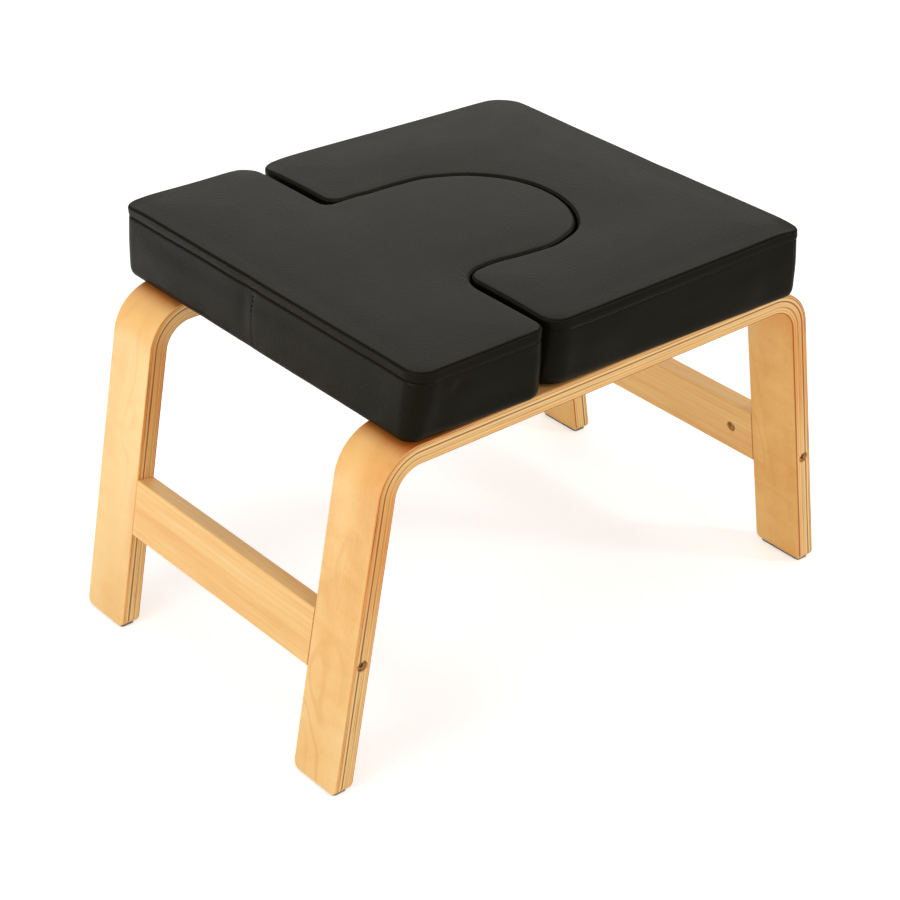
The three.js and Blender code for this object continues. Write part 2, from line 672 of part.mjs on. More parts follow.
// The four fixing places of a pad, from its two x values
function fixings(frontX, frontName, backX, backName) {
  const places = [];
  for (const [x, xName] of [[frontX, frontName], [backX, backName]]) {
    for (const [end, endName] of [[-1, 'front'], [1, 'back']]) {
      places.push({ x, y: end * RAIL_Y, name: `${endName}_${xName}` });
    }
  }
  return places;
}

// Pieces of a pad, with the bores of its board and those of the cloth under it
function padPieces(kind, bores, clothBores) {
  return [
    piece(`${kind}_cover_top`, coverTop(kind), 'leather'),
    piece(`${kind}_cover_band`, coverBand(kind, bores), 'leather'),
    piece(`${kind}_foam`, foam(kind), 'foam'),
    piece(`${kind}_board`, board(kind, bores), 'ply'),
    piece(`${kind}_underside_cloth`, cloth(kind, clothBores), 'cloth'),
  ];
}

// U pad, held by four screws through the rails into tee nuts in its board
function uPad() {
  const pad = new THREE.Group();
  pad.position.z = PAD_Z;
  const places = fixings(SCREW_ARM_X, 'arm', SCREW_BACK_X, 'end');
  const boardTop = BOARD_Z + BOARD_T;
  const seat = boardTop - TEE_FLANGE_H - FIT_GAP;
  const bores = [];
  const clothBores = [];
  for (const { x, y } of places) {
    const below = new THREE.Vector3(x, y, -CUT_OVERRUN);
    const above = new THREE.Vector3(x, y, boardTop + CUT_OVERRUN);
    bores.push(rod(TEE_BARREL_R + FIT_GAP, below, above));
    bores.push(rod(TEE_FLANGE_R + FIT_GAP, new THREE.Vector3(x, y, seat - FIT_GAP), above));
    clothBores.push(rod(TEE_BARREL_R, below, new THREE.Vector3(x, y, CLOTH_T + CUT_OVERRUN)));
  }
  pad.add(...padPieces('u_pad', bores, clothBores));
  for (const { x, y, name } of places) {
    const nut = teeNut(`u_pad_tee_nut_${name}`);
    nut.position.set(x, y, seat - TEE_BARREL_H);
    const screw = padScrew(`u_pad_screw_${name}`);
    screw.position.set(x, y, RAIL_TOP - PLY_T - FIT_GAP - PAD_Z);
    pad.add(nut, screw);
  }
  return pad;
}

// T pad, dropped onto the rails by four pegs in its board
function tPad() {
  const pad = new THREE.Group();
  pad.position.z = PAD_Z;
  const places = fixings(PEG_INNER_X, 'inner', PEG_OUTER_X, 'outer');
  const pegBottom = -FIT_GAP - PEG_IN_RAIL;
  const pegTop = BOARD_Z + PEG_IN_BOARD;
  const bores = [];
  for (const { x, y } of places) {
    bores.push(rod(PEG_R + FIT_GAP, new THREE.Vector3(x, y, -CUT_OVERRUN),
      new THREE.Vector3(x, y, pegTop + FIT_GAP)));
  }
  pad.add(...padPieces('t_pad', bores, bores));
  for (const { x, y, name } of places) {
    const pin = peg(`t_pad_peg_${name}`, pegTop - pegBottom);
    pin.position.set(x, y, pegBottom);
    pad.add(pin);
  }
  return pad;
}

const group = new THREE.Group();
group.add(portal('portal_front', -1), portal('portal_back', 1));
group.add(frameSide('left', -1), frameSide('right', 1));
group.add(uPad(), tPad());

export default group;
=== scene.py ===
"""Looks of the yoga headstand stool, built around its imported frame.

Two bent birch plywood portals and two stretchers carry a U-shaped shoulder pad, which is screwed
down, and a T-shaped seat pad, which lifts off. Shapes are worked out in millimetres: +X runs along
the rails from the T pad to the closed end of the U pad, +Y from the front portal to the back one,
+Z up.
"""

import math
from collections import namedtuple

import bpy
import numpy as np
from mathutils import Matrix, Vector
from mathutils.geometry import delaunay_2d_cdt


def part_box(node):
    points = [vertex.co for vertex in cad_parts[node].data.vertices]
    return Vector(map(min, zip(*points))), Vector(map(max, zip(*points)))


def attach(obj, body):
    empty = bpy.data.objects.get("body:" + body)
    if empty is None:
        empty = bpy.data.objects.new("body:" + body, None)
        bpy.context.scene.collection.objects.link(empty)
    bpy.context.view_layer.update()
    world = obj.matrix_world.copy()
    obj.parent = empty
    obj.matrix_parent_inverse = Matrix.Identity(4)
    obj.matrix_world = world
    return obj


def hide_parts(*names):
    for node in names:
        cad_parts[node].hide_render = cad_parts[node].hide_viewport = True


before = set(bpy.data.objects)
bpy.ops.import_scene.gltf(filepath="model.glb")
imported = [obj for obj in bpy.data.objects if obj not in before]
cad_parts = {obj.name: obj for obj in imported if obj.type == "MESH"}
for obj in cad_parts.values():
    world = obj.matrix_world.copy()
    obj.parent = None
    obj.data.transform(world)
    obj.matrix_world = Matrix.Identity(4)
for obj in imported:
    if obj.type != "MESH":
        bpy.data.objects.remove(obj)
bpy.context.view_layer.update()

MM = 0.001  # metres in a millimetre

# The bent strips
PLY_T = 18.7
PLY_W = 58.6
PLY_EDGE_R = 1.6
RAIL_TOP = 318.0
RAIL_Y = 161.2
SPLAY = math.radians(9.6)
BEND_R = 46.0
BEND_TURN = math.pi / 2 - SPLAY
WOOD_BOTTOM = 2.0
TOP_X = 300.0 - (RAIL_TOP - WOOD_BOTTOM) * math.tan(SPLAY)
BEND_X = TOP_X - BEND_R * math.tan(BEND_TURN / 2)
BEND_Z = RAIL_TOP - BEND_R
FOOT_CORNER_R = 8.0
FOOT_OUTER_R = 1.4
FOOT_INNER_R = 4.2
LEG_ALONG = 600.0  # a distance along the strip that is past the bends, so on a leg
PLIES = 13
PORTAL_GRAIN_APART = 2000.0  # moves the portals' figures apart

# The stretchers and the joints at their ends, in the frame of one side's joints
STRETCHER_H = 56.0
STRETCHER_TOP = 155.5
STRETCHER_EDGE_R = 1.5
BAR_GRAIN_APART = 700.0
JOINT_Y = 131.9
EDGE_Y = RAIL_Y + PLY_W / 2
FIT_GAP = 0.3
BOLT_R = 3.0
BOLT_BORE_R = BOLT_R + FIT_GAP
BOLT_BORE_Y = 60.0  # where its bore ends inside the stretcher
BOLT_SINK = 6.5
BOLT_HEAD_R = 5.2
BOLT_LENGTH = 86.1
NUT_R = 5.0
NUT_Y = JOINT_Y - 28.0
NUT_RECESS = 1.2
NUT_FACE_X = NUT_RECESS - PLY_T / 2
NUT_SLOT_DEPTH = 1.5
NUT_LENGTH = 14.0
DOWEL_R = 4.0
DOWEL_OFFSET = 17.0
DOWEL_REACH = 21.0
PEG_BORE_R = 5.3
OVERRUN = 2.0  # how far a cutter runs past what it cuts
SHARP_TURN = math.radians(32)  # edges that turn by more stay sharp

# The pads: plan
PAD_Z = RAIL_TOP + FIT_GAP
PAD_END_X = TOP_X - 25.5
PAD_SIDE_Y = 201.0
BAR_BACK_Y = PAD_SIDE_Y + 11.0
BAR_X = 139.0 - PAD_END_X
ARM_X = BAR_X + 7.5
KEY_X = PAD_END_X - 118.4
KEY_Y = 90.6
KEY_R = 89.6
KEY_GAP = 0.9
KEY_TIP_GAP = 2.6
COLUMN_STEP = 1.7  # spacing of the covers' points round a pad
CAP_STEP = 3.4  # spacing of the points on a pad's top
COARSE_STEP = 5.0  # the same round the hidden pieces and the trial copy
COVER_T = 1.2
BOARD_Z = 2.4
BOARD_T = 12.0
SEAM_Z = 59.3
STITCH_PITCH = 3.9
GROOVE_INSET = 1.55
GROOVE_Z = 67.25
RING_INSET = 12.0
RING_Z = 69.35
BAND_WALL_ROW = 12  # the band profile's first row above its lower roll
NO_SEAM = 400.0  # seam distance of points that are far from any seam
FOAM_Z = 14.7
TEE_FLANGE_T = 1.5
TEE_BORE_R = 4.3
TEE_SINK_R = 9.8
CLOTH_Z = 0.4
CLOTH_T = 0.4
STAPLE_PITCH = 27.0
RAIL_GAP_Y = 120.0  # the staples and the slack cloth stay between the rails
SCREW_HEAD_H = 3.6

# The stage
FLOOR_REACH = 40000.0
FLOOR_LIFT = 0.5
CAMERA_PLACE = (-1.2823, -1.4621, 1.3038)
CAMERA_AZIMUTH = math.radians(-40.97)
CAMERA_ELEVATION = math.radians(30.76)
CAMERA_ROLL = math.radians(1.14)
CAMERA_LENS = 96.27

chance = np.random.default_rng(7)


# Meshes

def quads(rows, columns):
    """Faces of a grid of closed rows: point i of row k joins point i + 1 and row k + 1."""
    k, i = np.meshgrid(np.arange(rows - 1), np.arange(columns), indexing="ij")
    j = (i + 1) % columns
    low, high = k * columns, (k + 1) * columns
    return np.stack([low + i, low + j, high + j, high + i], -1).reshape(-1, 4)


def capped(rows, columns):
    """Faces of a closed tube: its grid, and one flat face over each end row."""
    first = np.arange(columns)[::-1][None]
    last = (rows - 1) * columns + np.arange(columns)[None]
    return [quads(rows, columns), first, last]


def merged(shapes):
    """Puts several shapes, each a pair of points and face arrays, into one."""
    points, faces, start = [], [], 0
    for shape_points, shape_faces in shapes:
        points.append(np.reshape(shape_points, (-1, 3)))
        faces += [np.asarray(f) + start for f in shape_faces]
        start += len(points[-1])
    return np.concatenate(points), faces


def enclosed(points, faces):
    """Volume inside closed faces: the sum of signed tetrahedra from the origin to their fans."""
    total = 0.0
    for f in faces:
        a = points[f[:, 0]]
        for k in range(1, f.shape[1] - 1):
            total += np.einsum("ij,ij->", a, np.cross(points[f[:, k]], points[f[:, k + 1]]))
    return total / 6


def make_piece(name, points, faces, closed=True):
    """Object with a mesh of these points, in millimetres, and faces; a closed one faces outward."""
    points = np.reshape(points, (-1, 3)).astype(float)
    if closed and enclosed(points, faces) < 0:
        faces = [f[:, ::-1] for f in faces]
    mesh = bpy.data.meshes.new(name)
    loops = np.concatenate([np.ravel(f) for f in faces]).astype(np.int32)
    sizes = np.concatenate([np.full(len(f), f.shape[1]) for f in faces])
    starts = np.concatenate([[0], np.cumsum(sizes)[:-1]]).astype(np.int32)
    mesh.vertices.add(len(points))
    mesh.vertices.foreach_set("co", (points * MM).ravel())
    mesh.loops.add(len(loops))
    mesh.loops.foreach_set("vertex_index", loops)
    mesh.polygons.add(len(sizes))
    mesh.polygons.foreach_set("loop_start", starts)
    mesh.update(calc_edges=True)
    mesh.validate()
    return linked(name, mesh)


def linked(name, data):
    """New object in the scene for a mesh, a lamp or a camera."""
    made = bpy.data.objects.new(name, data)
    bpy.context.scene.collection.objects.link(made)
    return made


def mesh_points(piece):
    """A piece's vertices as an array, in millimetres."""
    flat = np.empty(len(piece.data.vertices) * 3)
    piece.data.vertices.foreach_get("co", flat)
    return flat.reshape(-1, 3) / MM


def set_points(piece, points):
    """Moves a piece's vertices to points in millimetres."""
    piece.data.vertices.foreach_set("co", (points * MM).ravel())
    piece.data.update()


def solid_span(node):
    """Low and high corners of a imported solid's box, in millimetres."""
    return [np.array(corner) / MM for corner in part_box(node)]


def dressed(piece, material, body, slot, *nodes, soft=False):
    """Shades a piece smooth, but for a hard one's sharp edges, gives it its material, rides it on
    its body and hides the solids it stands for. Its slot is not used."""
    piece.data.shade_smooth()
    if not soft:
        piece.data.set_sharp_from_angle(angle=SHARP_TURN)
    piece.data.materials.append(material)
    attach(piece, body)
    if nodes:
        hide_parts(*nodes)
    return piece


def keep_coordinates(piece, name, values):
    """Stores a vector at each vertex, in metres, for the piece's material to read."""
    layer = piece.data.attributes.new(name, "FLOAT_VECTOR", "POINT")
    layer.data.foreach_set("vector", (np.asarray(values, float) * MM).ravel())


def finished_mesh(piece):
    """Applies a piece's modifiers and drops them."""
    depsgraph = bpy.context.evaluated_depsgraph_get()
    mesh = bpy.data.meshes.new_from_object(piece.evaluated_get(depsgraph))
    before = piece.data
    piece.modifiers.clear()
    piece.data = mesh
    bpy.data.meshes.remove(before)
    mesh.name = piece.name
    return piece


def cut_out(piece, cutters):
    """Cuts closed shapes out of a piece."""
    tool = make_piece("cutters", *merged(cutters))
    modifier = piece.modifiers.new("bores", "BOOLEAN")
    modifier.operation = "DIFFERENCE"
    modifier.solver = "EXACT"
    modifier.object = tool
    finished_mesh(piece)
    bpy.data.objects.remove(tool)
    return piece


def turned(profile, steps=48):
    """Turned shape about +Z: each profile row (height, radius, share of a hexagon) is a ring of
    radius r, or for a hexagon r cos 30 / cos of the angle from the nearest flat's middle."""
    height, radius, hexagon = np.array([(*row, 0.0)[:3] for row in profile]).T
    angle = np.arange(steps) * 2 * math.pi / steps
    flat = math.cos(math.pi / 6) / np.cos(angle % (math.pi / 3) - math.pi / 6)
    reach = radius[:, None] * (1 + hexagon[:, None] * (flat[None] - 1))
    points = np.stack([reach * np.cos(angle), reach * np.sin(angle),
                       np.broadcast_to(height[:, None], reach.shape)], -1)
    return points.reshape(-1, 3), capped(len(profile), steps)


def along_axis(shape, axis, place):
    """Turns a shape made about +Z so that +Z points along a main axis, then moves it in place."""
    points, faces = shape
    x, y, z = points.T
    turns = {"+x": (z, y, -x), "-x": (-z, y, x), "+y": (x, z, -y), "-y": (x, -z, y),
             "+z": (x, y, z), "-z": (x, -y, -z)}
    return np.stack(turns[axis], -1) + np.asarray(place, float), faces


def rounded_section(width, height, radius, steps=4, spans=(6, 4), near=0.4):
    """Closed outline of a rounded rectangle, counter-clockwise: arcs, with each flat divided evenly
    and a point near each of its ends, which keeps the flat's shading flat."""
    points = []
    for k, (sx, sy) in enumerate([(1, -1), (1, 1), (-1, 1), (-1, -1)]):
        angles = np.linspace(-math.pi / 2, 0, steps + 1) + k * math.pi / 2
        cx, cy = sx * (width / 2 - radius), sy * (height / 2 - radius)
        arc = np.stack([cx + radius * np.cos(angles), cy + radius * np.sin(angles)], -1)
        points.append(arc)
        length = (height if k % 2 == 0 else width) - 2 * radius
        count = spans[k % 2]
        share = np.r_[near / length, np.arange(1, count) / count, 1 - near / length]
        along = np.array([(0, 1), (-1, 0), (0, -1), (1, 0)][k])
        points.append(arc[-1] + share[:, None] * length * along)
    return np.concatenate(points)


def waves(points, lengths, seed):
    """Gentle unevenness from -1 to 1: the mean of sine waves, one per wavelength in millimetres,
    each running in a direction of its own."""
    source = np.random.default_rng(seed)
    total = np.zeros(len(points))
    for length in lengths:
        direction = source.normal(size=3)
        direction /= np.linalg.norm(direction)
        total += np.sin(points @ direction * 2 * math.pi / length + source.uniform(0, 2 * math.pi))
    return total / len(lengths)


# Frame

def strip_place(along, depth, foot_rise=None):
    """Point of the bent strip in side view. Along the middle layer from the rail's middle, it runs
    level to the bend, round it about its centre, then straight down the leg; depth is measured from
    the outer face. With a foot rise, the point lies that high above the leg's level lower end."""
    side = np.sign(along)
    run = np.abs(along)
    middle = BEND_R - PLY_T / 2
    angle = np.clip((run - BEND_X) / middle, 0, BEND_TURN)
    rest = run - BEND_X - BEND_TURN * middle
    reach = BEND_R - depth
    x = np.where(run < BEND_X, run, BEND_X + reach * np.sin(angle))
    z = np.where(run < BEND_X, RAIL_TOP - depth, BEND_Z + reach * np.cos(angle))
    if foot_rise is None:
        down = np.maximum(rest, 0)
    else:
        down = (z - WOOD_BOTTOM - foot_rise) / math.cos(SPLAY)
    return side * (x + down * math.sin(SPLAY)), z - down * math.cos(SPLAY)


def strip_coordinates(points):
    """Unrolls the bent strip: distance along its middle layer, place across it, depth below its
    outer face. It finds the angle about the bend's centre, held between the rail and the leg."""
    x, y, z = points.T
    side, x = np.sign(x), np.abs(x)
    angle = np.clip(np.arctan2(x - BEND_X, z - BEND_Z), 0, BEND_TURN)
    reach = (x - BEND_X) * np.sin(angle) + (z - BEND_Z) * np.cos(angle)
    beyond = (x - BEND_X) * np.cos(angle) - (z - BEND_Z) * np.sin(angle)
    along = BEND_X + angle * (BEND_R - PLY_T / 2) + beyond
    return np.stack([side * along, y, BEND_R - reach], -1)


def strip_shape(y):
    """Bent strip: a rounded section of width PLY_W and thickness PLY_T carried up the left leg,
    round the bends and the rail, and down the right leg."""
    section = rounded_section(PLY_W, PLY_T, PLY_EDGE_R)
    across, depth = section[:, 0], PLY_T / 2 - section[:, 1]
    rises = np.r_[0, 0.3, 1, 2, 3, 4, 5.2, 6.6, 8, 10, np.linspace(20, 240, 30)]
    bend = BEND_X + np.linspace(0, BEND_TURN, 33) * (BEND_R - PLY_T / 2)
    rail = np.linspace(-BEND_X, BEND_X, 61)[1:-1]
    rows = [foot_row(-1, rise, across, depth, y) for rise in rises]
    rows += [bent_row(along, across, depth, y) for along in np.r_[-bend[::-1], rail, bend]]
    rows += [foot_row(1, rise, across, depth, y) for rise in rises[::-1]]
    return np.reshape(rows, (-1, 3)), capped(len(rows), len(section))


def bent_row(along, across, depth, y, rise=None):
    """One ring of the strip's section at a distance along it: square to the strip, or level at a
    rise above the leg's lower end."""
    x, z = strip_place(np.full(len(depth), along), depth, rise)
    return np.stack([x, y + across, z], -1)


def foot_row(side, rise, across, depth, y):
    """Level ring of the strip's section near a foot. It narrows by what the roots of the corner
    circles leave: radius less the root of radius squared less distance squared."""
    corner = max(FOOT_CORNER_R - rise, 0)
    half = PLY_W / 2 - FOOT_CORNER_R + math.sqrt(FOOT_CORNER_R ** 2 - corner ** 2)
    outer, inner = (
        r - math.sqrt(r * r - max(r - rise, 0) ** 2) for r in (FOOT_OUTER_R, FOOT_INNER_R))
    depth = outer + depth * (PLY_T - outer - inner) / PLY_T
    return bent_row(side * LEG_ALONG, across * half / (PLY_W / 2), depth, y, rise)


def side_place(points, side):
    """From the frame of one side's joints, x out through the leg, y along the stretcher and z up
    the leg, to the stool's: a turn about Y by the leg's splay, then a move to the joint."""
    x, y, z = np.reshape(points, (-1, 3)).T
    if side < 0:
        x, y = -x, -y
    joint_z = STRETCHER_TOP - (STRETCHER_H * math.cos(SPLAY) + PLY_T * math.sin(SPLAY)) / 2
    joint_x = TOP_X + (RAIL_TOP - joint_z) * math.tan(SPLAY) - PLY_T / 2 / math.cos(SPLAY)
    c, s = math.cos(side * SPLAY), math.sin(side * SPLAY)
    return np.stack([side * joint_x + x * c - z * s, y, joint_z + x * s + z * c], -1)


def joint_bores(toward):
    """Cutters at one end of a side: the bolt's stepped bore and the two dowels' bores."""
    seat, head, peg = EDGE_Y - BOLT_SINK, BOLT_HEAD_R + FIT_GAP, DOWEL_R + FIT_GAP
    bolt = turned([(BOLT_BORE_Y, BOLT_BORE_R), (seat, BOLT_BORE_R), (seat, head),
                   (EDGE_Y + OVERRUN, head)])
    dowel = turned([(JOINT_Y - DOWEL_REACH, peg), (JOINT_Y + DOWEL_REACH, peg)], 24)
    return [along_axis(shape, outward(toward), (0, 0, z))
            for shape, z in ((bolt, 0), (dowel, DOWEL_OFFSET), (dowel, -DOWEL_OFFSET))]


def outward(toward):
    """Name of the axis that points along the stretcher, out of one of its ends."""
    return "+y" if toward > 0 else "-y"


def upright_bore(node, radius):
    """Cutter through a rail round a screw or a peg."""
    low, high = solid_span(node)
    hole = turned([(RAIL_TOP - PLY_T - OVERRUN, radius), (RAIL_TOP + OVERRUN, radius)])
    return along_axis(hole, "+z", (*(low + high)[:2] / 2, 0))


def make_portal(end_name, end):
    """One portal with its bores, and the unrolled coordinates its grain follows."""
    node = f"portal_{end_name}"
    piece = make_piece(f"{node}_ply", *strip_shape(end * RAIL_Y))
    cutters = [(side_place(points, side), faces)
               for side in (-1, 1) for points, faces in joint_bores(end * side)]
    for place in ("arm", "end"):
        cutters.append(upright_bore(f"u_pad_screw_{end_name}_{place}", BOLT_BORE_R))
    for place in ("inner", "outer"):
        cutters.append(upright_bore(f"t_pad_peg_{end_name}_{place}", PEG_BORE_R + FIT_GAP))
    cut_out(piece, cutters)
    unrolled = strip_coordinates(mesh_points(piece))
    keep_coordinates(piece, "ply", unrolled + (end * PORTAL_GRAIN_APART, -end * RAIL_Y, 0))
    dressed(piece, portal_birch, "stool", "birch_ply", node)


def make_stretcher(side_name, side):
    """Solid bar with softened edges: a rounded section carried straight from leg to leg."""
    node = f"stretcher_{side_name}"
    section = rounded_section(PLY_T, STRETCHER_H, STRETCHER_EDGE_R, spans=(6, 3))
    half, size = JOINT_Y - FIT_GAP, np.array([PLY_T, STRETCHER_H])
    rows = []
    for y in np.r_[-half, 0.35 - half, np.linspace(6 - half, half - 6, 33), half - 0.35, half]:
        drawn = 0.3 if abs(y) == half else 0.0
        rows.append(np.insert(section * (1 - 2 * drawn / size), 1, y, axis=1))
    piece = make_piece(f"{node}_bar", rows, capped(len(rows), len(section)))
    bore_r = NUT_R + FIT_GAP
    nut = turned([(-OVERRUN, bore_r), (NUT_RECESS + NUT_LENGTH + FIT_GAP, bore_r)])
    cutters = []
    for toward in (-1, 1):
        cutters += joint_bores(toward)
        cutters.append(along_axis(nut, "+x", (-PLY_T / 2, toward * NUT_Y, 0)))
    cut_out(piece, cutters)
    local = mesh_points(piece)
    keep_coordinates(piece, "bar", local + (0, side * BAR_GRAIN_APART, 0))
    set_points(piece, side_place(local, side))
    dressed(piece, stretcher_birch, "stool", "birch_ply", node)


def socket_bolt(head_r, head_h, shank_r, length, socket_r, socket_depth):
    """Socket-headed bolt about +Z, its seat at z = 0, the head above it and the shank below."""
    return turned([
        (-length, shank_r - 0.6), (-length + 0.6, shank_r), (-0.02, shank_r), (0, shank_r + 0.1),
        (0, head_r - 0.3), (0.3, head_r), (head_h - 0.9, head_r), (head_h - 0.35, head_r - 0.3),
        (head_h, head_r - 1.0), (head_h, socket_r + 0.45), (head_h - 0.25, socket_r, 1),
        (head_h - socket_depth + 0.1, socket_r, 1), (head_h - socket_depth, socket_r - 0.15, 1),
        (head_h - socket_depth - 0.5, 0.2),
    ])


def make_joint_hardware(side_name, side):
    """The bolts and barrel nuts of one side, at both of its joints."""
    bolt = socket_bolt(BOLT_HEAD_R, 5.0, BOLT_R, BOLT_LENGTH, 2.6, 2.6)
    nut = turned([(0, NUT_R - 0.5), (0.5, NUT_R), (NUT_LENGTH - 0.5, NUT_R),
                  (NUT_LENGTH, NUT_R - 0.5)])
    thread = turned([(NUT_Y - 12, BOLT_BORE_R), (NUT_Y + 12, BOLT_BORE_R)], 32)
    for end_name, end in (("front", -1), ("back", 1)):
        toward = end * side
        points, faces = along_axis(bolt, outward(toward), (0, toward * (EDGE_Y - BOLT_SINK), 0))
        node = f"joint_bolt_{end_name}_{side_name}"
        piece = make_piece(f"{node}_socket", side_place(points, side), faces)
        dressed(piece, bronze, "stool", "bronze_steel", node)
        node = f"barrel_nut_{end_name}_{side_name}"
        shape = along_axis(nut, "+x", (NUT_FACE_X, toward * NUT_Y, 0))
        piece = make_piece(f"{node}_slotted", *shape)
        bore = along_axis(thread, outward(toward), (0, 0, 0))
        cut_out(piece, [bore, slot_cutter(toward * NUT_Y)])
        set_points(piece, side_place(mesh_points(piece), side))
        dressed(piece, bronze, "stool", "bronze_steel", node)


def slot_cutter(y):
    """Flat bar that cuts a barrel nut's screwdriver slot."""
    outline = np.array([(-1, -1), (1, -1), (1, 1), (-1, 1)]) * (0.75, 7.0)
    rows = [np.stack([np.full(4, NUT_FACE_X + x), y + outline[:, 1], outline[:, 0]], -1)
            for x in (-OVERRUN, NUT_SLOT_DEPTH)]
    return np.reshape(rows, (-1, 3)), capped(2, 4)


def make_feet():
    """Felt under each foot: a rounded plate whose cut edge is a little uneven."""
    for node in [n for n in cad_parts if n.startswith("foot_felt")]:
        low, high = solid_span(node)
        size, centre = high - low, (high + low) / 2
        outline = rounded_section(size[0], size[1], 3.0, steps=6, spans=(24, 8))
        rows = [np.insert(outline * (1 - 2 * inset / size[:2]), 2, z, axis=1) for inset, z in (
            (4.0, 0.0), (1.2, 0.0), (0.3, 0.05), (0.0, 0.5), (0.0, 1.2), (0.35, 1.62),
            (1.4, size[2]), (4.0, size[2]))]
        points = np.reshape(rows, (-1, 3))
        fuzz = waves(points + centre, (2.1, 3.3, 5.2), 3)[:, None] * 0.12
        points[:, :2] += fuzz * np.sign(points[:, :2]) * (np.abs(points[:, 2:] - 0.85) < 0.8)
        points += (centre[0], centre[1], low[2])
        piece = make_piece(f"{node}_pad", points, capped(len(rows), len(outline)))
        dressed(piece, grey_felt, "stool", "foot_felt", node)


# Pads

# A pad while it is made: seam is the outline's place at the band's upright seam.
Pad = namedtuple("Pad", "kind body corners outline seam lattice")

# A corner of a pad's plan, in counter-clockwise order: its place, radius, turn and share of the
# radius left at the bottom, then of the side after it how far it draws in at the bottom, whether
# it's an outer side, and how plainly its edge shows the topstitched lip.
Corner = namedtuple("Corner", "x y r bend low draw outer lip")


def arms_corners():
    """Plan of the U pad: both arms, the closed end and the keyhole's round end."""
    return [
        Corner(ARM_X, -PAD_SIDE_Y, 21, 1, 1.25, 0, 1, 1),
        Corner(PAD_END_X, -PAD_SIDE_Y, 12, 1, 1, 0, 1, 1),
        Corner(PAD_END_X, PAD_SIDE_Y, 28, 1, 1, 2, 1, 1),
        Corner(ARM_X, PAD_SIDE_Y, 17, 1, 1, 0, 0, 0.6),
        Corner(ARM_X, KEY_Y, 14, 1, 1, 2, 0, 0.1), Corner(KEY_X, KEY_Y, KEY_R, -1, 1, 2, 0, 0.8),
        Corner(KEY_X, -KEY_Y, KEY_R, -1, 1, 2, 0, 0.1), Corner(ARM_X, -KEY_Y, 18, 1, 1, 0, 0, 0.6),
    ]


def seat_corners():
    """Plan of the T pad: the bar, and the tongue that fills the keyhole."""
    tongue, tip, turn = KEY_Y - KEY_GAP, KEY_X - KEY_TIP_GAP, KEY_R - KEY_GAP
    return [
        Corner(-PAD_END_X, -PAD_SIDE_Y, 21, 1, 0.65, 0, 1, 1),
        Corner(BAR_X, -PAD_SIDE_Y, 14, 1, 1.2, -4, 0, 0.5),
        Corner(BAR_X, -tongue, 30, -1, 1, 2, 0, 0.1), Corner(tip, -tongue, turn, 1, 1, 2, 0, 0.8),
        Corner(tip, tongue, turn, 1, 1, 2, 0, 0.1), Corner(BAR_X, tongue, 10, -1, 1, -2, 0, 0.5),
        Corner(BAR_X, BAR_BACK_Y, 17, 1, 1, 2, 1, 1),
        Corner(-PAD_END_X, BAR_BACK_Y, 15, 1, 1, -2.5, 1, 1),
    ]


def pad_outline(corners, step, inset=0.0, share=0.0):
    """Closed plan ring: quarter circles at the corners and straight runs between, divided alike
    at any inset. Each side moves in by the inset and a share of its draw. A corner lies where its
    two sides meet, and its radius shrinks, or grows at a re-entrant one, by their mean move."""
    count = len(corners)
    after = corners[1:] + corners[:1]
    ways = [np.sign([b.x - a.x, b.y - a.y]) for a, b in zip(corners, after)]
    spots, radii = [], []
    for i, here in enumerate(corners):
        into, out = ways[i - 1], ways[i]
        moves = inset + corners[i - 1].draw * share, inset + here.draw * share
        spots.append(np.array([here.x - moves[0] * into[1] - moves[1] * out[1],
                               here.y + moves[0] * into[0] + moves[1] * out[0]]))
        radius = here.r * (1 + (here.low - 1) * share)
        radii.append(max(radius - here.bend * sum(moves) / 2, min(radius, 3.0)))
    parts = []
    for i, here in enumerate(corners):
        into, out, k = ways[i - 1], ways[i], (i + 1) % count
        steps = max(int(here.r * math.pi / 2 / step), 6)
        along = np.arange(steps) / steps
        start = math.atan2(-here.bend * into[0], here.bend * into[1])
        angle = start + here.bend * math.pi / 2 * along
        spoke = np.stack([np.cos(angle), np.sin(angle)], -1)
        ease = step_up(along, 0, 1)
        parts.append([spots[i] + radii[i] * (out - into + spoke), here.bend * spoke] + [
            was + (now - was) * ease for was, now in zip(corners[i - 1][5:], here[5:])])
        length = abs(after[i].x - here.x) + abs(after[i].y - here.y) - here.r - after[i].r
        steps = max(int(length / step), 2)
        first, last = spots[i] + radii[i] * out, spots[k] - radii[k] * out
        parts.append([first + (last - first) * np.arange(steps)[:, None] / steps,
                      np.tile([out[1], -out[0]], (steps, 1))]
                     + [np.full(steps, float(value)) for value in here[5:]])
    places, normals, draws, outers, lips = (np.concatenate(part) for part in zip(*parts))
    places = eased_plan(places, share)
    run = ring_run(places)
    return {"place": places, "normal": normals, "draw": draws, "outer": outers, "lip": lips,
            "run": run[:-1]}


def ring_run(ring):
    """Distance to each point of a closed ring from its first, and last the whole way round."""
    return np.r_[0, np.cumsum(np.linalg.norm(np.roll(ring, -1, 0) - ring, axis=1))]


def step_up(value, low, high):
    """Smooth step from 0 at low to 1 at high: 3t^2 - 2t^3."""
    t = np.clip((value - low) / (high - low), 0, 1)
    return t * t * (3 - 2 * t)


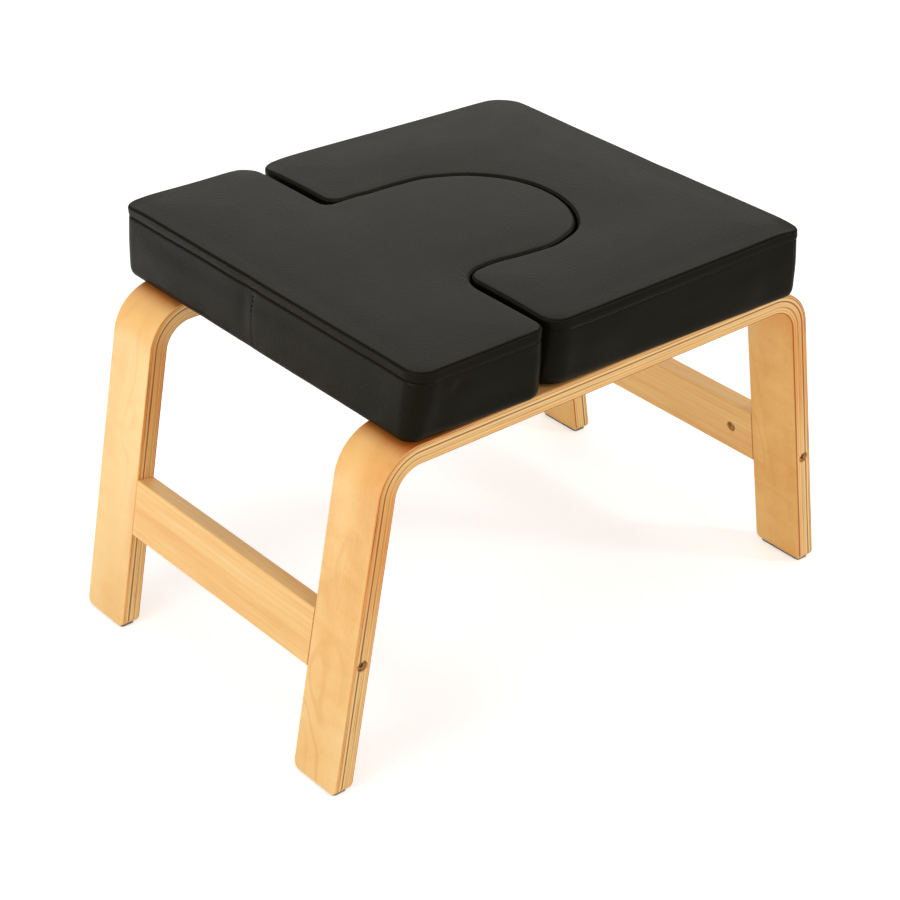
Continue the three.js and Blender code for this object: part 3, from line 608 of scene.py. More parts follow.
def eased_plan(places, share):
    """Hand-cut plan: the keyhole leans back at its mouth and forward at its round end, whose tip
    is a little short, the gaps beside the arms open towards the creases, and the front, the back
    and the closed end run a few millimetres out of square. The front sides draw in by more at
    their left ends, in proportion to the share of the draw."""
    x, y = places.T
    away = np.abs(y)
    within = step_up(-away, -150, -95)
    creases = np.exp(-((x + 34) / 15) ** 2) + np.exp(-((x - 46) / 15) ** 2)
    narrow = np.exp(-((away - KEY_Y) / 24) ** 2) * (away < 170) * 1.4 * creases
    lean = within * np.interp(
        x, (-110, -80, -45, 75, 95, 105, 170), (0, 7.2, 7.2, -4.3, -3.6, -2.4, 0))
    short = within * np.interp(x, (20, 105, 175), (0, -5.2, 0))
    seat = x < BAR_X + 3.0
    arms_back = 4.8 + 0.9 * step_up(-x, -20, 60) - 12.8 * step_up(x, -60, 235)
    bar_back = 4.0 * step_up(-x, 120, 215)
    back = step_up(y, 120, 190) * np.where(seat, bar_back, arms_back)
    bar_front = np.interp(x, (-205, -90), (10.0, 3.5))
    arms_front = np.interp(x, (-60, 40, 221), (9.5, 5.0, -1.0))
    front = share * step_up(-y, 120, 190) * np.where(seat, bar_front, arms_front)
    closed_end = step_up(x, 120, 215) * (0.6 - 5.2 * step_up(y, -200, 200) + 2.0 * (y / 200) ** 2)
    beside = (1 - step_up(x, ARM_X + 4, ARM_X + 60)) * ~seat * -2.0 * step_up(away, 130, 200)
    x, y = x + closed_end + short + beside, y - np.sign(y) * narrow + lean + back + front
    return np.stack([x, y], -1)


def eased(points, count):
    """Smooth line through given profile points: cubic pieces whose slopes are those of the
    chords between each point's neighbours, read at even distances."""
    points = np.array(points, float)
    run = np.r_[0, np.cumsum(np.linalg.norm(np.diff(points, axis=0), axis=1))]
    slope = np.gradient(points, run, axis=0)
    at = np.linspace(0, run[-1], count)
    k = np.clip(np.searchsorted(run, at, side="right") - 1, 0, len(run) - 2)
    span = (run[k + 1] - run[k])[:, None]
    t = ((at - run[k]) / span[:, 0])[:, None]
    a, b = points[k], points[k + 1]
    return ((2 * t ** 3 - 3 * t ** 2 + 1) * a + (t ** 3 - 2 * t ** 2 + t) * span * slope[k]
            + (3 * t ** 2 - 2 * t ** 3) * b + (t ** 3 - t ** 2) * span * slope[k + 1])


def band_profile():
    """Side band from the hem under the board, round the lower roll and up to the seam: inset from
    the plan's outline, height above the pad's underside."""
    roll = np.linspace(0, math.pi / 2, 7)
    lower = np.stack([6 - 6 * np.sin(roll), 9.9 - 9 * np.cos(roll)], -1)
    hem = [(18, 0.9), (13, 0.9)]
    side = [(-0.05, 15), (-0.3, 24), (-0.5, 34), (-0.3, 46), (0.1, 54.5), (0.5, 57.7)]
    seam = [(0.7, 58.4), (1.05, 58.95), (1.6, 59.1), (2.8, 59.0)]
    return eased([*hem, *lower, *side, *seam], 40)


def top_profile():
    """Top panel where its edge shows: from the seam up the narrow upright edge, over a thin lip,
    down into the topstitched groove and steeply up the puffed edge."""
    return eased([
        (2.8, 59.8), (2.1, 59.7), (1.4, 59.8), (0.85, 60.1), (0.5, 60.8), (0.32, 62.0), (0.2, 63.5),
        (0.05, 65.0), (-0.05, 66.3), (-0.05, 67.1), (0.1, 67.65), (0.45, 67.93), (0.85, 67.95),
        (1.25, 67.7), (GROOVE_INSET, GROOVE_Z), (1.72, 67.65), (1.85, 68.3), (2.1, 68.8),
        (2.6, 69.02), (3.6, 69.12), (6.2, 69.2), (9.0, 69.3), (RING_INSET, RING_Z),
    ], 56)


def pressed_profile():
    """Top panel where it is pressed against the other pad: one plain round edge."""
    return eased([
        (2.8, 59.6), (1.4, 59.5), (0.6, 59.6), (0.25, 60.1), (0.15, 61.0), (0.15, 62.5),
        (0.2, 64.0), (0.3, 65.2), (0.45, 66.1), (0.65, 66.9), (0.9, 67.5), (1.2, 67.95),
        (1.55, 68.3), (1.95, 68.55), (2.3, 68.7), (2.7, 68.83), (3.2, 68.93), (3.9, 69.03),
        (5.0, 69.12), (6.8, 69.2), (9.2, 69.3), (RING_INSET, RING_Z),
    ], 56)


def crown(away):
    """Height of the top inside the profile: it climbs a last half millimetre ever more slowly."""
    return RING_Z + 0.5 * (1 - np.exp(-away / 30))


def drawn_share(height):
    """Share of a side's draw at a height: all of it at the underside, none from the seam up."""
    return np.clip(1 - height / SEAM_Z, 0, 1) ** 1.12


def drawn_rings(corners, step, profile, margin=0.0):
    """Rings of a pad, one for each profile row: the plan moved in by the row's inset and draw."""
    return np.array([level_ring(corners, step, inset + margin, drawn_share(z), z)
                     for inset, z in profile])


def level_ring(corners, step, inset, share, z):
    """One ring of a pad's plan at a height."""
    plan = pad_outline(corners, step, inset, share)["place"]
    return np.column_stack([plan, np.full(len(plan), z)])


def inside(points, ring):
    """Which points lie inside a closed ring: an odd number of its sides cross the ray to +X."""
    a, b = ring, np.roll(ring, -1, 0)
    y = points[:, 1:2]
    crosses = (a[:, 1] > y) != (b[:, 1] > y)
    rise = np.where(b[:, 1] == a[:, 1], 1e-9, b[:, 1] - a[:, 1])
    at = a[:, 0] + (y - a[:, 1]) / rise * (b[:, 0] - a[:, 0])
    return (crosses & (at > points[:, :1])).sum(1) % 2 == 1


def nearest(points, ring):
    """Distance from each plan point to the closest point of a ring."""
    return np.concatenate([np.linalg.norm(part[:, None] - ring[None], axis=2).min(1)
                           for part in np.array_split(points, 16)])


def filled(ring, step):
    """Triangles over the inside of a plan ring, with a triangular lattice of points within it."""
    low, high = ring.min(0), ring.max(0)
    rise = step * math.sqrt(3) / 2
    rows = np.arange(low[1] + rise / 2, high[1], rise)
    x, y = np.meshgrid(np.arange(low[0], high[0], step), rows)
    x = x + step / 2 * (np.arange(len(rows)) % 2)[:, None]
    lattice = np.stack([x.ravel(), y.ravel()], -1)
    lattice = lattice[inside(lattice, ring)]
    lattice = lattice[nearest(lattice, ring) > step * 0.6]
    start = np.arange(len(ring))
    edges = np.stack([start, (start + 1) % len(ring)], -1)
    corners = [tuple(p) for p in (*ring, *lattice)]
    result = delaunay_2d_cdt(corners, edges.tolist(), [], 1, 1e-6)
    order = np.array([source[0] for source in result[3]])
    return lattice, order[np.array(result[2])]


def lid(ring, height, step):
    """Points inside a ring, each at the height for its distance from it, and faces out to it."""
    lattice, faces = filled(ring[:, :2], step)
    z = np.broadcast_to(height(nearest(lattice, ring[:, :2])), len(lattice))
    return np.column_stack([lattice, z]), faces


def closed_pad(rings, height, top_step, base_step):
    """Closes a pad's rings with a lid over the last and a flat one under the first."""
    top, upper = lid(rings[-1], height, top_step)
    base, lower = lid(rings[0], lambda away: rings[0, 0, 2], base_step)
    rows, columns = rings.shape[:2]
    lower = np.where(lower < columns, lower, lower + (rows - 1) * columns + len(top))
    faces = [quads(rows, columns), upper + (rows - 1) * columns, lower[:, ::-1]]
    return np.concatenate([rings.reshape(-1, 3), top, base]), faces, len(base)


# How a pad's cover settles over its foam

VOXEL = 5.0
SWELLING_STEPS = 20
SWELLING = {
    "quality": 6, "mass": 0.4, "tension_stiffness": 25, "compression_stiffness": 25,
    "bending_stiffness": 2.0, "use_pressure": True, "uniform_pressure_force": 4.0,
    "vertex_group_mass": "held",
}


def inflated(kind, corners):
    """Cloth simulation of a pad: a coarse closed copy is remeshed, blown up a little with its
    underside held, and its movement is spread over a lattice of boxes, each the mean of the
    points near it. Gives that lattice."""
    profile = [(12, 1.0), (5, 1.0), (0.8, 6), (0, 14), (0, 30), (0, 45), (0, 58), (0.5, 64),
               (3, 67), (RING_INSET, RING_Z)]
    points, faces, _ = closed_pad(drawn_rings(corners, COARSE_STEP, profile, 0.6), crown, 7.0, 9.0)
    trial = make_piece(f"{kind}_trial", points, faces, closed=False)
    remesh = trial.modifiers.new("remesh", "REMESH")
    remesh.mode = "VOXEL"
    remesh.voxel_size = VOXEL * MM
    before = mesh_points(finished_mesh(trial))
    held = trial.vertex_groups.new(name="held")
    weight = np.clip((16 - before[:, 2]) / 8, 0, 1)
    for level in (0.25, 0.5, 0.75, 1.0):
        chosen = np.flatnonzero(np.abs(weight - level) <= 0.125)
        held.add(chosen.tolist(), level, "REPLACE")
    cloth = trial.modifiers.new("cloth", "CLOTH")
    for key, value in SWELLING.items():
        setattr(cloth.settings, key, value)
    cloth.settings.effector_weights.gravity = 0.0
    cloth.collision_settings.use_collision = False
    cloth.point_cache.frame_start, cloth.point_cache.frame_end = 1, SWELLING_STEPS
    for step in range(1, SWELLING_STEPS + 1):
        bpy.context.scene.frame_set(step)
    move = mesh_points(finished_mesh(trial)) - before
    bpy.context.scene.frame_set(1)
    bpy.data.objects.remove(trial)
    return spread(before, move)


def spread(points, values, cell=7.0):
    """Lattice of boxes over the points: each value is shared among the eight boxes round its
    point, then values and shares are blurred alike and divided, so empty boxes are filled too."""
    low = points.min(0) - 3 * cell
    shape = tuple(((points.max(0) + 3 * cell - low) / cell).astype(int) + 2)
    total, share = np.zeros((*shape, 3)), np.zeros((*shape, 1))
    for at, weight in boxes_round((points - low) / cell):
        np.add.at(total, at, values * weight)
        np.add.at(share, at, weight)
    for _ in range(5):
        for axis in range(3):
            total = (np.roll(total, 1, axis) + 2 * total + np.roll(total, -1, axis)) / 4
            share = (np.roll(share, 1, axis) + 2 * share + np.roll(share, -1, axis)) / 4
    return {"low": low, "cell": cell, "value": total / np.maximum(share, 1e-9)}


def boxes_round(place):
    """The eight boxes round each place, one corner after another, and its share of each."""
    base = place.astype(int)
    part = place - base
    for corner in np.ndindex(2, 2, 2):
        yield tuple((base + corner).T), np.prod(np.where(corner, part, 1 - part), 1)[:, None]


def read_lattice(lattice, points):
    """Value of the lattice at each point, weighed between the eight boxes round it."""
    value = lattice["value"]
    place = (points - lattice["low"]) / lattice["cell"]
    place = np.clip(place, 0, np.array(value.shape[:3]) - 1.001)
    return sum(value[at] * weight for at, weight in boxes_round(place))


DENTS = {
    # Centre, spread along x, y and z, and push at the middle, in millimetres above the underside
    "t_pad": [
        ((-221, 214, 69), (13, 13, 7), (0, 0, -2.0)),
        ((-82, 212, 69), (13, 13, 7), (0, 0, -2.2)),
        ((-82, -201, 69), (9, 9, 7), (0, 0, -0.8)),
        ((-221, -201, 69), (11, 11, 7), (0, 0, -1.0)),
        ((-221, 30, 36), (30, 6, 22), (0.9, 0, 0)),
        ((-221, 20, 55), (30, 4, 4), (0.5, 0, 0)),
        ((-221, 96, 26), (30, 26, 18), (0.9, 0, 0)),
        ((-221, -88, 22), (30, 30, 16), (0.8, 0, 0)),
        ((-221, -150, 34), (30, 14, 22), (0.7, 0, 0)),
        ((-186, -201, 50), (5, 20, 4), (0, -0.7, 0)),
        ((-178, -201, 47), (4, 20, 4), (0, 0.6, 0)),
        ((-192, -201, 26), (9, 20, 24), (0, 1.2, 0)),
        ((-120, -201, 22), (22, 20, 14), (0, 0.8, 0)),
        ((-92, -201, 50), (6, 20, 5), (0, 0.6, 0)),
    ],
    "u_pad": [
        ((-74, 206, 69), (13, 13, 7), (0, 0, -1.8)),
        ((-74, -201, 69), (10, 10, 7), (0, 0, -0.9)),
        ((221, 195, 69), (20, 20, 7), (0, 0, -1.6)),
        ((221, -201, 69), (12, 12, 7), (0, 0, -2.6)),
        ((60, -201, 34), (26, 20, 11), (0, 1.5, 0)),
        ((96, -201, 24), (22, 20, 10), (0, 1.2, 0)),
        ((28, -201, 40), (16, 20, 9), (0, 0.8, 0)),
        ((-44, -201, 30), (10, 20, 22), (0, 0.9, 0)),
        ((182, -201, 30), (12, 20, 24), (0, 0.9, 0)),
        ((-58, -201, 50), (7, 20, 5), (0, 0.5, 0)),
        ((221, -20, 30), (30, 9, 26), (-1.2, 0, 0)),
        ((221, 80, 26), (30, 26, 16), (-0.8, 0, 0)),
        ((60, 201, 28), (34, 20, 16), (0, -1.0, 0)),
    ],
}


def settled(pad, points, outer, depth=0.0):
    """Moves a pad's skin: by the simulated swelling, held back where the topstitch and the gap
    walls hold it and never past a few millimetres, by the listed dents, and by slow waves.
    Outer is 1 on the pad's outer sides and 0 on the walls that face the other pad. On the top,
    the swelling grows with the depth, which is the distance from the pad's edge."""
    z = points[:, 2]
    upper = np.clip((z - 65.0) / 2.0, 0, 1)
    edge = np.exp(-((z - 63.0) / 8.0) ** 2) * (1 - upper)
    limit = (0.2 + 1.4 * outer) * (1 - 0.85 * edge) * np.clip(z / 14, 0, 1) * (1 - upper)
    limit += upper * (0.15 + 1.1 * (1 - np.exp(-np.maximum(depth, 0) / 70)))
    move = np.zeros_like(points)
    if pad.lattice is not None:
        move = read_lattice(pad.lattice, points)
        size = np.linalg.norm(move, axis=1)
        move *= (limit * np.tanh(size / 5.0) / np.maximum(size, 1e-6))[:, None]
    for centre, reach, push in DENTS[pad.kind]:
        fall = np.exp(-0.5 * (((points - centre) / reach) ** 2).sum(1))
        move += fall[:, None] * push
    slow = waves(points, (64, 83, 118, 151), 11)
    low_pull = np.exp(-((z - 9) / 10) ** 2) * (z < SEAM_Z)
    short = waves(points, (31, 43, 57), 12)
    direction = points[:, :2] / np.maximum(np.linalg.norm(points[:, :2], axis=1), 1)[:, None]
    sideways = (0.35 * slow + 0.55 * short * low_pull) * outer * np.clip(z / 6, 0, 1) * (1 - upper)
    move[:, :2] += direction * sideways[:, None]
    move[:, 2] += (0.14 * slow + 0.03 * short) * upper
    if pad.kind == "t_pad":
        for corner in ((BAR_X + 6, -92.0), (BAR_X + 2, 100.0)):
            x, y = (points[:, :2] - corner).T
            away = np.hypot(x, y)
            fade = np.exp(-(away / 9) ** 2) * np.clip(away / 5, 0, 1)
            move[:, 2] += 0.35 * np.sin(9 * np.arctan2(y, x)) * fade * upper
    return points + move


def raised(points):
    """From heights above a pad's underside to the stool's."""
    return points + (0, 0, PAD_Z)


def seam_fold(rings, run, seam_run):
    """Draws the band in along its upright seam: a narrow shallow fold."""
    z = rings[..., 2]
    height = np.clip((SEAM_Z - 1.5 - z) / 2, 0, 1) * np.clip(z / 8, 0, 1)
    return 0.35 * height * np.exp(-((run - seam_run) / 1.3) ** 2)


def make_pad(kind, body, corners, seam_at):
    """One pad: its two-part cover, topstitching, foam, board and underside cloth."""
    outline = pad_outline(corners, COLUMN_STEP)
    seam = np.argmin(np.linalg.norm(outline["place"] - seam_at, axis=1))
    pad = Pad(kind, body, corners, outline, seam, inflated(kind, corners))
    make_band(pad)
    panel, profile = make_panel(pad)
    make_stitches(pad, panel[groove_row(profile)])
    make_foam(pad)
    make_board(pad)
    make_underside(pad)


def make_band(pad):
    """The cover's side band, drawn in along its upright seam."""
    outline, profile = pad.outline, band_profile()
    rings = drawn_rings(pad.corners, COLUMN_STEP, profile)
    fold = seam_fold(rings, outline["run"], outline["run"][pad.seam])
    rings[..., :2] -= outline["normal"] * fold[..., None]
    outer = np.tile(outline["outer"], len(rings))
    points = settled(pad, rings.reshape(-1, 3), outer)
    faces = [quads(*rings.shape[:2])]
    band = make_piece(f"{pad.kind}_side_band", raised(points), faces, closed=False)
    finish_cover(pad, band, "cover_band", profile, run_past=40)


def make_panel(pad):
    """The cover's top panel. Its edge goes over from the lipped profile to the pressed one, sits
    low over the seam but for the end at -X, and leans out and deepens its groove at the front.
    Gives the settled rings and their profile."""
    outline, profile = pad.outline, top_profile()
    inset, height = profile[:, :1], profile[:, 1:]
    lip = outline["lip"][:, None]
    rings = lip * drawn_rings(pad.corners, COLUMN_STEP, profile)
    rings += (1 - lip) * drawn_rings(pad.corners, COLUMN_STEP, pressed_profile())
    low = 1 - 0.2 * np.clip(-outline["normal"][:, 0] * 1.3 - 0.2, 0, 1)
    front = np.clip(-outline["normal"][:, 1], 0, 1) * outline["lip"]
    rings[..., 2] -= 0.65 * low * np.clip((61.0 - rings[..., 2]) / 1.2, 0, 1)
    lean = 0.6 * np.clip((height - 63.5) / 3.5, -1, 1) * np.clip(1 - inset / 9, 0, 1) * front
    rings[..., :2] -= outline["normal"] * lean[..., None]
    groove = np.exp(-((inset - GROOVE_INSET - 0.05) / 0.3) ** 2) * (height > 66)
    rings[..., 2] -= 0.8 * front * groove
    top, faces = lid(rings[-1], crown, CAP_STEP)
    rows, columns = rings.shape[:2]
    outer = np.r_[np.tile(outline["outer"], rows), np.ones(len(top))]
    away = nearest(top[:, :2], rings[-1, :, :2]) + RING_INSET
    points = np.concatenate([rings.reshape(-1, 3), top])
    points = settled(pad, points, outer, np.r_[np.repeat(inset, columns), away])
    faces = [quads(rows, columns), faces + (rows - 1) * columns]
    panel = make_piece(f"{pad.kind}_top_panel", raised(points), faces, closed=False)
    finish_cover(pad, panel, "cover_top", profile)
    return points[:rows * columns].reshape(rings.shape), profile


def groove_row(profile):
    """Which row of a top panel's profile runs along the bottom of the topstitched groove."""
    return np.argmin(np.abs(profile - (GROOVE_INSET, GROOVE_Z)).sum(1))


def finish_cover(pad, piece, part, profile, run_past=None):
    """Gives a cover piece its seam coordinates, its thickness and its leather. They measure round
    the pad and up the profile from the groove, or from a place past the profile's end."""
    run = np.r_[0, np.cumsum(np.linalg.norm(np.diff(profile, axis=0), axis=1))]
    groove = run[-1] + run_past if run_past else run[groove_row(profile)]
    rows, columns = len(profile), len(pad.outline["run"])
    values = np.full((len(piece.data.vertices), 3), NO_SEAM)
    values[:rows * columns, 0] = np.tile(pad.outline["run"], rows)
    values[:rows * columns, 1] = np.repeat(run - groove, columns)
    keep_coordinates(piece, "seam", values)
    thicken(piece, COVER_T)
    dressed(piece, black_leather, pad.body, "pad_leather", f"{pad.kind}_{part}", soft=True)


def thicken(piece, thickness):
    """Gives a sheet its thickness, inward."""
    shell = piece.modifiers.new("thickness", "SOLIDIFY")
    shell.thickness = thickness * MM
    shell.offset = -1.0


def stitches(centres, along, up, length=2.6, radius=0.52):
    """One closed six-sided thread per stitch: five rings along it, thin at both ends and bowed so
    that the ends dive into the leather."""
    share = np.array([-1, -0.72, 0, 0.72, 1.0])
    thick = np.array([0.35, 0.9, 1, 0.9, 0.35])[None, :, None, None]
    angle = np.arange(6)[:, None] * math.pi / 3
    up, along = np.broadcast_to(up, centres.shape), np.broadcast_to(along, centres.shape)
    side = np.cross(along, up)[:, None, None]
    ring = (side * np.cos(angle) + up[:, None, None] * np.sin(angle)) * radius * thick
    spine = (centres[:, None] + along[:, None] * share[:, None] * length / 2
             - up[:, None] * 0.55 * share[:, None] ** 2)
    start = np.arange(len(centres))[:, None, None] * len(share) * 6
    faces = [(f[None] + start).reshape(-1, f.shape[1]) for f in capped(len(share), 6)]
    return (spine[:, :, None] + ring).reshape(-1, 3), faces


def make_stitches(pad, line):
    """Topstitching round the groove, and the upright row down the band's seam."""
    outline, normal = pad.outline, np.r_[pad.outline["normal"][pad.seam], 0.0]
    run = ring_run(line)
    count = int(run[-1] / STITCH_PITCH)
    at = (np.arange(count) + 0.5) * run[-1] / count
    closed = np.vstack([line, line[:1]])
    centres = np.stack([np.interp(at, run, closed[:, k]) for k in range(3)], -1)
    along = np.roll(centres, -1, 0) - np.roll(centres, 1, 0)
    along /= np.linalg.norm(along, axis=1)[:, None]
    shown = np.interp(at, run, np.r_[outline["lip"], outline["lip"][:1]]) > 0.35
    threads = [stitches(centres[shown] + (0, 0, 0.3), along[shown], (0, 0, 1.0))]

    heights = np.arange(9.0, SEAM_Z - 2.5, 4.4)
    wall = band_profile()[BAND_WALL_ROW:]
    shift = np.interp(heights, wall[:, 1], wall[:, 0]) + 0.35
    shift += outline["draw"][pad.seam] * drawn_share(heights)
    spots = np.column_stack([outline["place"][pad.seam] - normal[:2] * shift[:, None], heights])
    spots = settled(pad, spots, np.ones(len(spots))) + normal * 0.2
    threads.append(stitches(spots, (0, 0, 1.0), normal))

    points, faces = merged(threads)
    piece = make_piece(f"{pad.kind}_stitching", raised(points), faces)
    dressed(piece, black_thread, pad.body, "pad_leather", soft=True)


def make_foam(pad):
    """Foam block inside the cover: the pad's own rings and lid, a cover's thickness further in."""
    profile = [(0, FOAM_Z), (0, 26), (0, 40), (0, 52), (1.2, 57.5), (2.2, 60), (3.2, 63.5),
               (6, 65.8), (RING_INSET, 66.8)]
    rings = drawn_rings(pad.corners, COARSE_STEP, profile, COVER_T + FIT_GAP + 0.9)
    points, faces, flat = closed_pad(rings, lambda away: crown(away) - 2.2, 8.0, 12.0)
    outer = np.ones(len(points) - flat)
    outer[:rings[..., 0].size] = np.tile(pad_outline(pad.corners, COARSE_STEP)["outer"], len(rings))
    points[:-flat] = settled(pad, points[:-flat], outer)
    points[:, 2] = np.maximum(points[:, 2], FOAM_Z)
    piece = make_piece(f"{pad.kind}_foam_block", raised(points), faces)
    dressed(piece, cream_foam, pad.body, "pad_foam", f"{pad.kind}_foam", soft=True)


def make_board(pad):
    """Plywood board under the foam, on the pad's own plan with a rounded lower edge: a few drawn
    rings with a flat face above and below, bored for the tee nuts or for the pegs."""
    skin, top = COVER_T + FIT_GAP, BOARD_Z + BOARD_T
    profile = [(7, BOARD_Z), (3.5 + skin / 2, BOARD_Z + 1.2), (2 + skin, BOARD_Z + 5),
               (skin + 1, top)]
    rings = np.array([level_ring(pad.corners, 4.0, inset, 1.0, z) for inset, z in profile])
    points, faces, _ = closed_pad(rings, lambda away: top, 14.0, 14.0)
    piece = make_piece(f"{pad.kind}_board_ply", raised(points), faces)
    cutters, start = [], PAD_Z - OVERRUN
    fixings = (f"{pad.kind}_tee_nut", f"{pad.kind}_peg")
    for node in sorted(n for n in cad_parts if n.startswith(fixings)):
        low, high = solid_span(node)
        if "peg" in node:
            steps = [(start, PEG_BORE_R), (high[2] + FIT_GAP, PEG_BORE_R)]
        else:
            seat = high[2] - TEE_FLANGE_T - FIT_GAP
            steps = [(start, TEE_BORE_R), (seat, TEE_BORE_R), (seat, TEE_SINK_R),
                     (high[2] + 3 * OVERRUN, TEE_SINK_R)]
        cutters.append(along_axis(turned(steps), "+z", (*(low + high)[:2] / 2, 0)))
    cut_out(piece, cutters)
    dressed(piece, board_wood, pad.body, "raw_wood", f"{pad.kind}_board")


def make_underside(pad):
    """Thin black cloth stapled under the board. It hangs a little between its staples, away from
    the rails."""
    edge = drawn_rings(pad.corners, COARSE_STEP, [(12.0, CLOTH_Z)])[0]
    ring = edge[:, :2]
    inner, faces = lid(edge, lambda away: CLOTH_Z, 7.0)
    points = np.concatenate([edge, inner])
    away = np.r_[np.zeros(len(edge)), nearest(inner[:, :2], ring)]
    free = np.clip((RAIL_GAP_Y + 2 - np.abs(points[:, 1])) / 16, 0, 1)
    ripple = 0.35 * (waves(points * (1, 1, 0), (27, 38, 61), 21) + 1)
    points[:, 2] -= free * (np.clip(away / 40, 0, 1) * 0.9 + ripple * np.clip(away / 8, 0, 1))
    piece = make_piece(f"{pad.kind}_dust_cloth", raised(points), [faces[:, ::-1]], closed=False)
    thicken(piece, CLOTH_T)
    dressed(piece, dust_cloth, pad.body, "underside_cloth", f"{pad.kind}_underside_cloth",
            soft=True)

    line = drawn_rings(pad.corners, COARSE_STEP, [(16.5, -0.35)])[0]
    run = ring_run(line)[:-1]
    index = np.searchsorted(run, np.arange(STAPLE_PITCH / 3, run[-1], STAPLE_PITCH)) % len(run)
    index = index[np.abs(line[index, 1]) < RAIL_GAP_Y]
    x, y, _ = (np.roll(line, -1, 0)[index] - line[index]).T
    turn = np.arctan2(y, x) + chance.normal(0, 0.09, len(index))
    along = np.stack([np.cos(turn), np.sin(turn), 0 * turn], -1)
    threads, thread_faces = stitches(line[index], along, (0, 0, -1.0), 11.0, 0.45)
    staples = make_piece(f"{pad.kind}_staples", raised(threads), thread_faces)
    dressed(staples, zinc, pad.body, "zinc_steel", soft=True)


def make_fixings():
    """The U pad's screws, seen under the rails, and the T pad's pegs."""
    for node in sorted(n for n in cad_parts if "pad_screw" in n or "pad_peg" in n):
        low, high = solid_span(node)
        (x, y), length = (low + high)[:2] / 2, high[2] - low[2]
        if "screw" in node:
            screw = socket_bolt(6.5, SCREW_HEAD_H, BOLT_R, length - SCREW_HEAD_H, 2.3, 2.2)
            shape = along_axis(screw, "-z", (x, y, low[2] + SCREW_HEAD_H))
            dressed(make_piece(f"{node}_socket", *shape), zinc, "stool", "zinc_steel", node)
        else:
            peg = turned([(0, 2.6), (0.35, 3.7), (1.1, 4.6), (2.3, 5.0), (length / 2, 5.0),
                          (length - 0.4, 5.0), (length, 4.6)], 40)
            shape = along_axis(peg, "+z", (x, y, low[2]))
            dressed(make_piece(f"{node}_wood", *shape), peg_wood, "t_pad", "raw_wood", node)


# Materials

def linear(red, green, blue):
    """Colour for a shader from 0 to 255 screen values, by the sRGB curve."""
    value = np.array([red, green, blue]) / 255
    value = np.where(value <= 0.04045, value / 12.92, ((value + 0.055) / 1.055) ** 2.4)
    return (*value.tolist(), 1.0)


def add_node(tree, kind, inputs=(), **settings):
    """Node with its settings and inputs."""
    made = tree.nodes.new(kind)
    for key, value in settings.items():
        setattr(made, key, value)
    for key, value in dict(inputs).items():
        feed(made.inputs[key], value)
    return made


def feed(socket, value):
    """Links a value worked out by nodes to a socket, or sets a plain one."""
    if isinstance(value, Value):
        socket.id_data.links.new(value.socket, socket)
    else:
        socket.default_value = value


class Value:
    """Number, place or colour worked out by nodes. Arithmetic on it adds the nodes that do it."""

    def __init__(self, socket):
        self.socket = socket

    def node(self, kind, inputs, output=0, **settings):
        return Value(add_node(self.socket.id_data, kind, inputs, **settings).outputs[output])

    def math(self, operation, *others, clamp=False):
        return self.node("ShaderNodeMath", enumerate((self, *others)), operation=operation,
                         use_clamp=clamp)

    def __add__(self, other):
        return self.math("ADD", other)

    def __sub__(self, other):
        return self.math("SUBTRACT", other)

    def __mul__(self, other):
        return self.math("MULTIPLY", other)

    def __pow__(self, other):
        return self.math("POWER", other)

    def __abs__(self):
        return self.math("ABSOLUTE")

    def axes(self):
        outputs = add_node(self.socket.id_data, "ShaderNodeSeparateXYZ", {0: self}).outputs
        return [Value(output) for output in outputs]

    def noise(self, scale, detail=2.0, roughness=0.5, distortion=0.0, shift=(0, 0, 0)):
        """Noise at a place. Its scale is one number, or one for each axis, and then a shift."""
        place = self
        if isinstance(scale, tuple):
            place = self.node("ShaderNodeMapping", {"Vector": self, "Scale": scale,
                                                    "Location": shift})
            scale = 1.0
        return place.node("ShaderNodeTexNoise", {"Vector": place, "Scale": scale, "Detail": detail,
                                                 "Roughness": roughness, "Distortion": distortion})

    def random(self):
        return self.node("ShaderNodeTexWhiteNoise", {"W": self}, "Value", noise_dimensions="1D")

    def ranged(self, low, high, to_low=0.0, to_high=1.0):
        """Smooth step from one value at low to another at high."""
        return self.node("ShaderNodeMapRange", {"Value": self, "From Min": low, "From Max": high,
                                                "To Min": to_low, "To Max": to_high},
                         interpolation_type="SMOOTHSTEP")

    def mix(self, first, second, blend="MIX"):
        """The second colour blended over the first by this share."""
        return self.node("ShaderNodeMix", {0: self, 6: first, 7: second}, 2, data_type="RGBA",
                         blend_type=blend)

    def ramp(self, *stops):
        made = add_node(self.socket.id_data, "ShaderNodeValToRGB", {"Fac": self})
        while len(made.color_ramp.elements) < len(stops):
            made.color_ramp.elements.new(0.5)
        for element, (position, colour) in zip(made.color_ramp.elements, stops):
            element.position, element.color = position, colour
        return Value(made.outputs[0])


class Finish:
    """A material being put together: its node tree and its surface."""

    def __init__(self, name, **surface):
        self.material = bpy.data.materials.new(name)
        self.material.use_nodes = True
        self.tree = self.material.node_tree
        self.surface = self.tree.nodes["Principled BSDF"]
        for socket, value in surface.items():
            self.surface.inputs[socket.replace("_", " ")].default_value = value

    def stored(self, name):
        made = add_node(self.tree, "ShaderNodeAttribute", attribute_name=name)
        return Value(made.outputs["Vector"])

    def place(self):
        return Value(add_node(self.tree, "ShaderNodeTexCoord").outputs["Object"])

    def wear(self, colour, roughness, height, distance, strength):
        """Links the finished colour, roughness and relief to the surface."""
        bump = height.node("ShaderNodeBump", {"Height": height, "Distance": distance,
                                              "Strength": strength})
        for name, value in (("Base Color", colour), ("Roughness", roughness), ("Normal", bump)):
            feed(self.surface.inputs[name], value)
        return self.material


